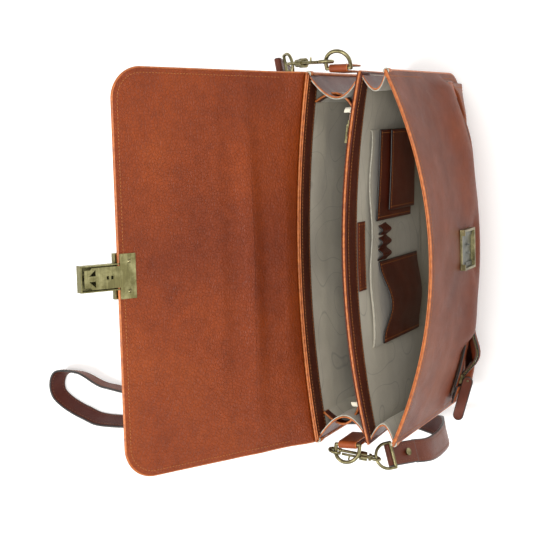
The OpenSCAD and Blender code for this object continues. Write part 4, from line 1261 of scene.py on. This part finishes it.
def build_handle():
    """Rolled leather carry handle on the flap's outer face."""
    half, s0, n0, rise = 62.0, 62.0, -9.2 - 15.95 - 1, 16.0
    x = np.linspace(-half, half, 60)
    n = n0 - rise * (1 - (x / half) ** 2)
    radius = 5.0 + 2.2 * (1 - (x / half) ** 4)
    grip = tube_data(flap_point(x, s0 + 0 * x, n), radius, 20)
    ends = []
    for side in (-1, 1):
        s = np.linspace(s0 - 7, s0 + 7, 14)
        profile = np.array([5.6] + [7.2] * 12 + [5.6])
        ends.append(tube_data(flap_point(0 * s + side * half, s, 0 * s + n0), profile, 18))
    place(merge("carry_handle_leather", [grip, *ends], ("strap",)), "handle", "carry_handle",
          slot="strap_leather")
    seam = flap_point(x[4:-4], s0 + 0 * x[4:-4], n[4:-4] - radius[4:-4])
    stitches("carry_handle_stitches", "handle", [(seam, -FLAP_N)])


def build_ring_tabs():
    """Leather loops that hold the D rings on the sides."""
    bar_x, bar_y, bar_z = 197.0, 19.0, 279.0
    parts, lines = [], []
    for side in (-1, 1):
        def tab(u, v, side=side):
            drop, loop_r = 44.0, 3.1
            total = 2 * drop + math.pi * loop_r
            d = v * total
            a = np.clip((d - drop) / loop_r, 0, math.pi)
            down = np.where(d < drop, drop - d, np.clip(d - drop - math.pi * loop_r, 0, None))
            x = bar_x - loop_r * np.cos(a)
            z = bar_z + loop_r * np.sin(a) - down
            y = bar_y + (u - 0.5) * 18.0 * (-side)
            return np.stack([side * x, y + 0 * v, z], -1)
        parts.append(sheet_data(tab, axis(8, 0.05), axis(60, 0.01), 2.0))
        for inset in (-6.2, 6.2):
            z = np.linspace(bar_z - 42, bar_z - 6, 30)
            lines.append((np.stack([0 * z + side * (bar_x + 4.2), 0 * z + bar_y + inset, z], -1),
                          np.array([side * 1.0, 0, 0])))
    place(merge("ring_tabs_leather", parts, ("tab", "tab", "edge")), "body", "ring_tabs",
          slot="gusset_leather")
    stitches("ring_tabs_stitches", "body", lines)


def split_sides(node):
    """The points of a CAD node left and right of the middle, in millimetres."""
    mesh = frame["nodes"][node].data
    points = np.array([v.co for v in mesh.vertices], float) / MM
    return points[points[:, 0] < 0], points[points[:, 0] > 0]


def build_strap_ends():
    """Strap ends folded round their rings."""
    parts, lines = [], []
    centres, ways = strap_stations()
    for k, group in enumerate(split_sides("strap_ends")):
        first = centres[0] if k == 0 else centres[-1]
        second = centres[1] if k == 0 else centres[-2]
        across = ways[0] if k == 0 else ways[-1]
        run = unit(first - second)
        run = unit(run - across * np.dot(run, across))
        face = unit(np.cross(run, across))
        reach = float(((group - first) @ run).max())
        loop_r = 2.75
        ring = first + run * (reach - loop_r - 1.0)
        length = float(np.dot(ring - first, run))

        def loop(u, v, ring=ring, run=run, face=face, across=across, length=length):
            total = 2 * length + math.pi * loop_r
            d = v * total
            a = np.clip((d - length) / loop_r, 0, math.pi)
            back = np.where(d < length, length - d, np.clip(d - length - math.pi * loop_r, 0, None))
            return (ring - run * back[..., None] - face * (loop_r * np.cos(a))[..., None]
                    + run * (loop_r * np.sin(a))[..., None] + across * ((u - 0.5) * 22.6)[..., None])
        parts.append(sheet_data(loop, axis(8, 0.05), axis(60, 0.01), 2.0))
        for way in (-1, 1):
            for side in (-1, 1):
                back = np.linspace(3, length - 2, 20)[:, None]
                points = ring - run * back + across * side * 8.4 + face * way * (loop_r + 1.1)
                lines.append((points, face * way))
    place(merge("strap_ends_leather", parts, ("strap", "strap", "edge_dark")), "body", "strap_ends",
          slot="strap_leather")
    stitches("strap_ends_stitches", "body", lines, "thread_dark")


# ---------------------------------------------------------------- metal stays as drawn, with real finishes; the base board gets painted shade

METAL = {
    "brass": ("d_rings", "snap_hooks", "hook_gate_left", "hook_gate_right", "hook_swivels", "strap_rings",
              "strap_rivets", "strap_slider", "middle_zip_slider", "middle_zip_puller", "catch_frame",
              "zip_slider", "handle_chapes", "handle_rings", "lock_rivets", "lock_button", "key_cylinder"),
    "brass_plate": ("lock_back_plate", "lock_case"),
    "steel": ("catch_box", "catch_backing", "latch_bar", "latch_spring"),
    # The base board is coloured with the near-black painted shade, as a dark floor under the linings
    "painted_shade": ("base_board",),
}
BEVELLED = ("catch_frame", "lock_back_plate", "lock_case", "zip_slider", "handle_chapes", "catch_box",
            "key_cylinder", "middle_zip_puller", "middle_zip_slider")


def finish_metal():
    for material, nodes in METAL.items():
        for name in nodes:
            obj = frame["nodes"][name]
            obj.data.materials.clear()
            obj.data.materials.append(M[material])
    for name in BEVELLED:
        mod = frame["nodes"][name].modifiers.new("soft_edge", "BEVEL")
        mod.width, mod.segments = 0.35 * MM, 2
        mod.limit_method, mod.angle_limit = "ANGLE", math.radians(40)


# ---------------------------------------------------------------- stage, light and camera


def build_stage():
    floor = bpy.data.objects.new("floor", bpy.data.meshes.new("floor"))
    half, pitch = 30.0, 24
    xs = np.linspace(-half, half, pitch)
    verts = [(x, y, -0.0006) for y in xs for x in xs]
    faces = [(j * pitch + i, j * pitch + i + 1, (j + 1) * pitch + i + 1, (j + 1) * pitch + i)
             for j in range(pitch - 1) for i in range(pitch - 1)]
    floor.data.from_pydata(verts, [], faces)
    g = Graph("floor_paper")
    floor.data.materials.append(g.finish(linear("#f4f3f0"), 0.9, Emission_Color=(1, 1, 1, 1),
                                            Emission_Strength=0.25))
    bpy.context.scene.collection.objects.link(floor)
    world = bpy.data.worlds.new("studio")
    bpy.context.scene.world = world
    world.use_nodes = True
    world.node_tree.nodes["Background"].inputs["Color"].default_value = (1, 1, 1, 1)
    world.node_tree.nodes["Background"].inputs["Strength"].default_value = 0.62


def area(name, at, target, size, power, colour=(1, 1, 1)):
    data = bpy.data.lights.new(name, "AREA")
    data.shape, data.size, data.energy, data.color = "DISK", size, power, colour
    obj = bpy.data.objects.new(name, data)
    obj.location = at
    obj.rotation_mode = "QUATERNION"
    obj.rotation_quaternion = (Vector(target) - Vector(at)).to_track_quat("-Z", "Y")
    bpy.context.scene.collection.objects.link(obj)


def build_light():
    centre = (0.0, 0.05, 0.2)
    area("key", (-0.7, 1.2, 2.0), centre, 0.8, 30)
    area("fill", (1.4, -0.9, 1.7), centre, 1.8, 5)
    area("front", (-0.5, -1.8, 0.9), centre, 1.4, 5)
    area("top", (0.12, -0.42, 2.2), centre, 0.9, 22)


CAMERA_AZ, CAMERA_EL, CAMERA_ROLL = 15.7, 67.9, 1.7      # degrees
CAMERA_TARGET = np.array([-7.6, 101.0, 290.0])
CAMERA_DISTANCE = 1530.0
CAMERA_LENS = 36.0 * 1450 / 533


def build_camera():
    az, el, roll = (math.radians(a) for a in (CAMERA_AZ, CAMERA_EL, CAMERA_ROLL))
    back = np.array([math.sin(az) * math.cos(el), -math.cos(az) * math.cos(el), math.sin(el)])
    up = unit(np.array([1.0, 0, 0]) - back * back[0])
    right = np.cross(up, back)
    right, up = (math.cos(roll) * right - math.sin(roll) * up, math.sin(roll) * right + math.cos(roll) * up)
    data = bpy.data.cameras.new("camera")
    data.lens, data.sensor_width = CAMERA_LENS, 36.0
    data.clip_start, data.clip_end = 0.05, 50
    obj = bpy.data.objects.new("camera", data)
    at = (CAMERA_TARGET + back * CAMERA_DISTANCE) * MM
    axes = Matrix([[right[k], up[k], back[k], at[k]] for k in range(3)] + [[0, 0, 0, 1]])
    obj.matrix_world = axes
    bpy.context.scene.collection.objects.link(obj)
    bpy.context.scene.camera = obj
    settings = bpy.context.scene.view_settings
    settings.view_transform = "Standard"
    settings.exposure = 0.0


build_back()
build_front()
build_divider()
build_corner_rolls()
build_base()
build_gussets()
build_rear_compartment()
build_front_compartment()
build_front_pocket()
build_flap()
build_strap()
build_strap_ends()
build_ring_tabs()
build_handle()
finish_metal()
build_stage()
build_light()
build_camera()
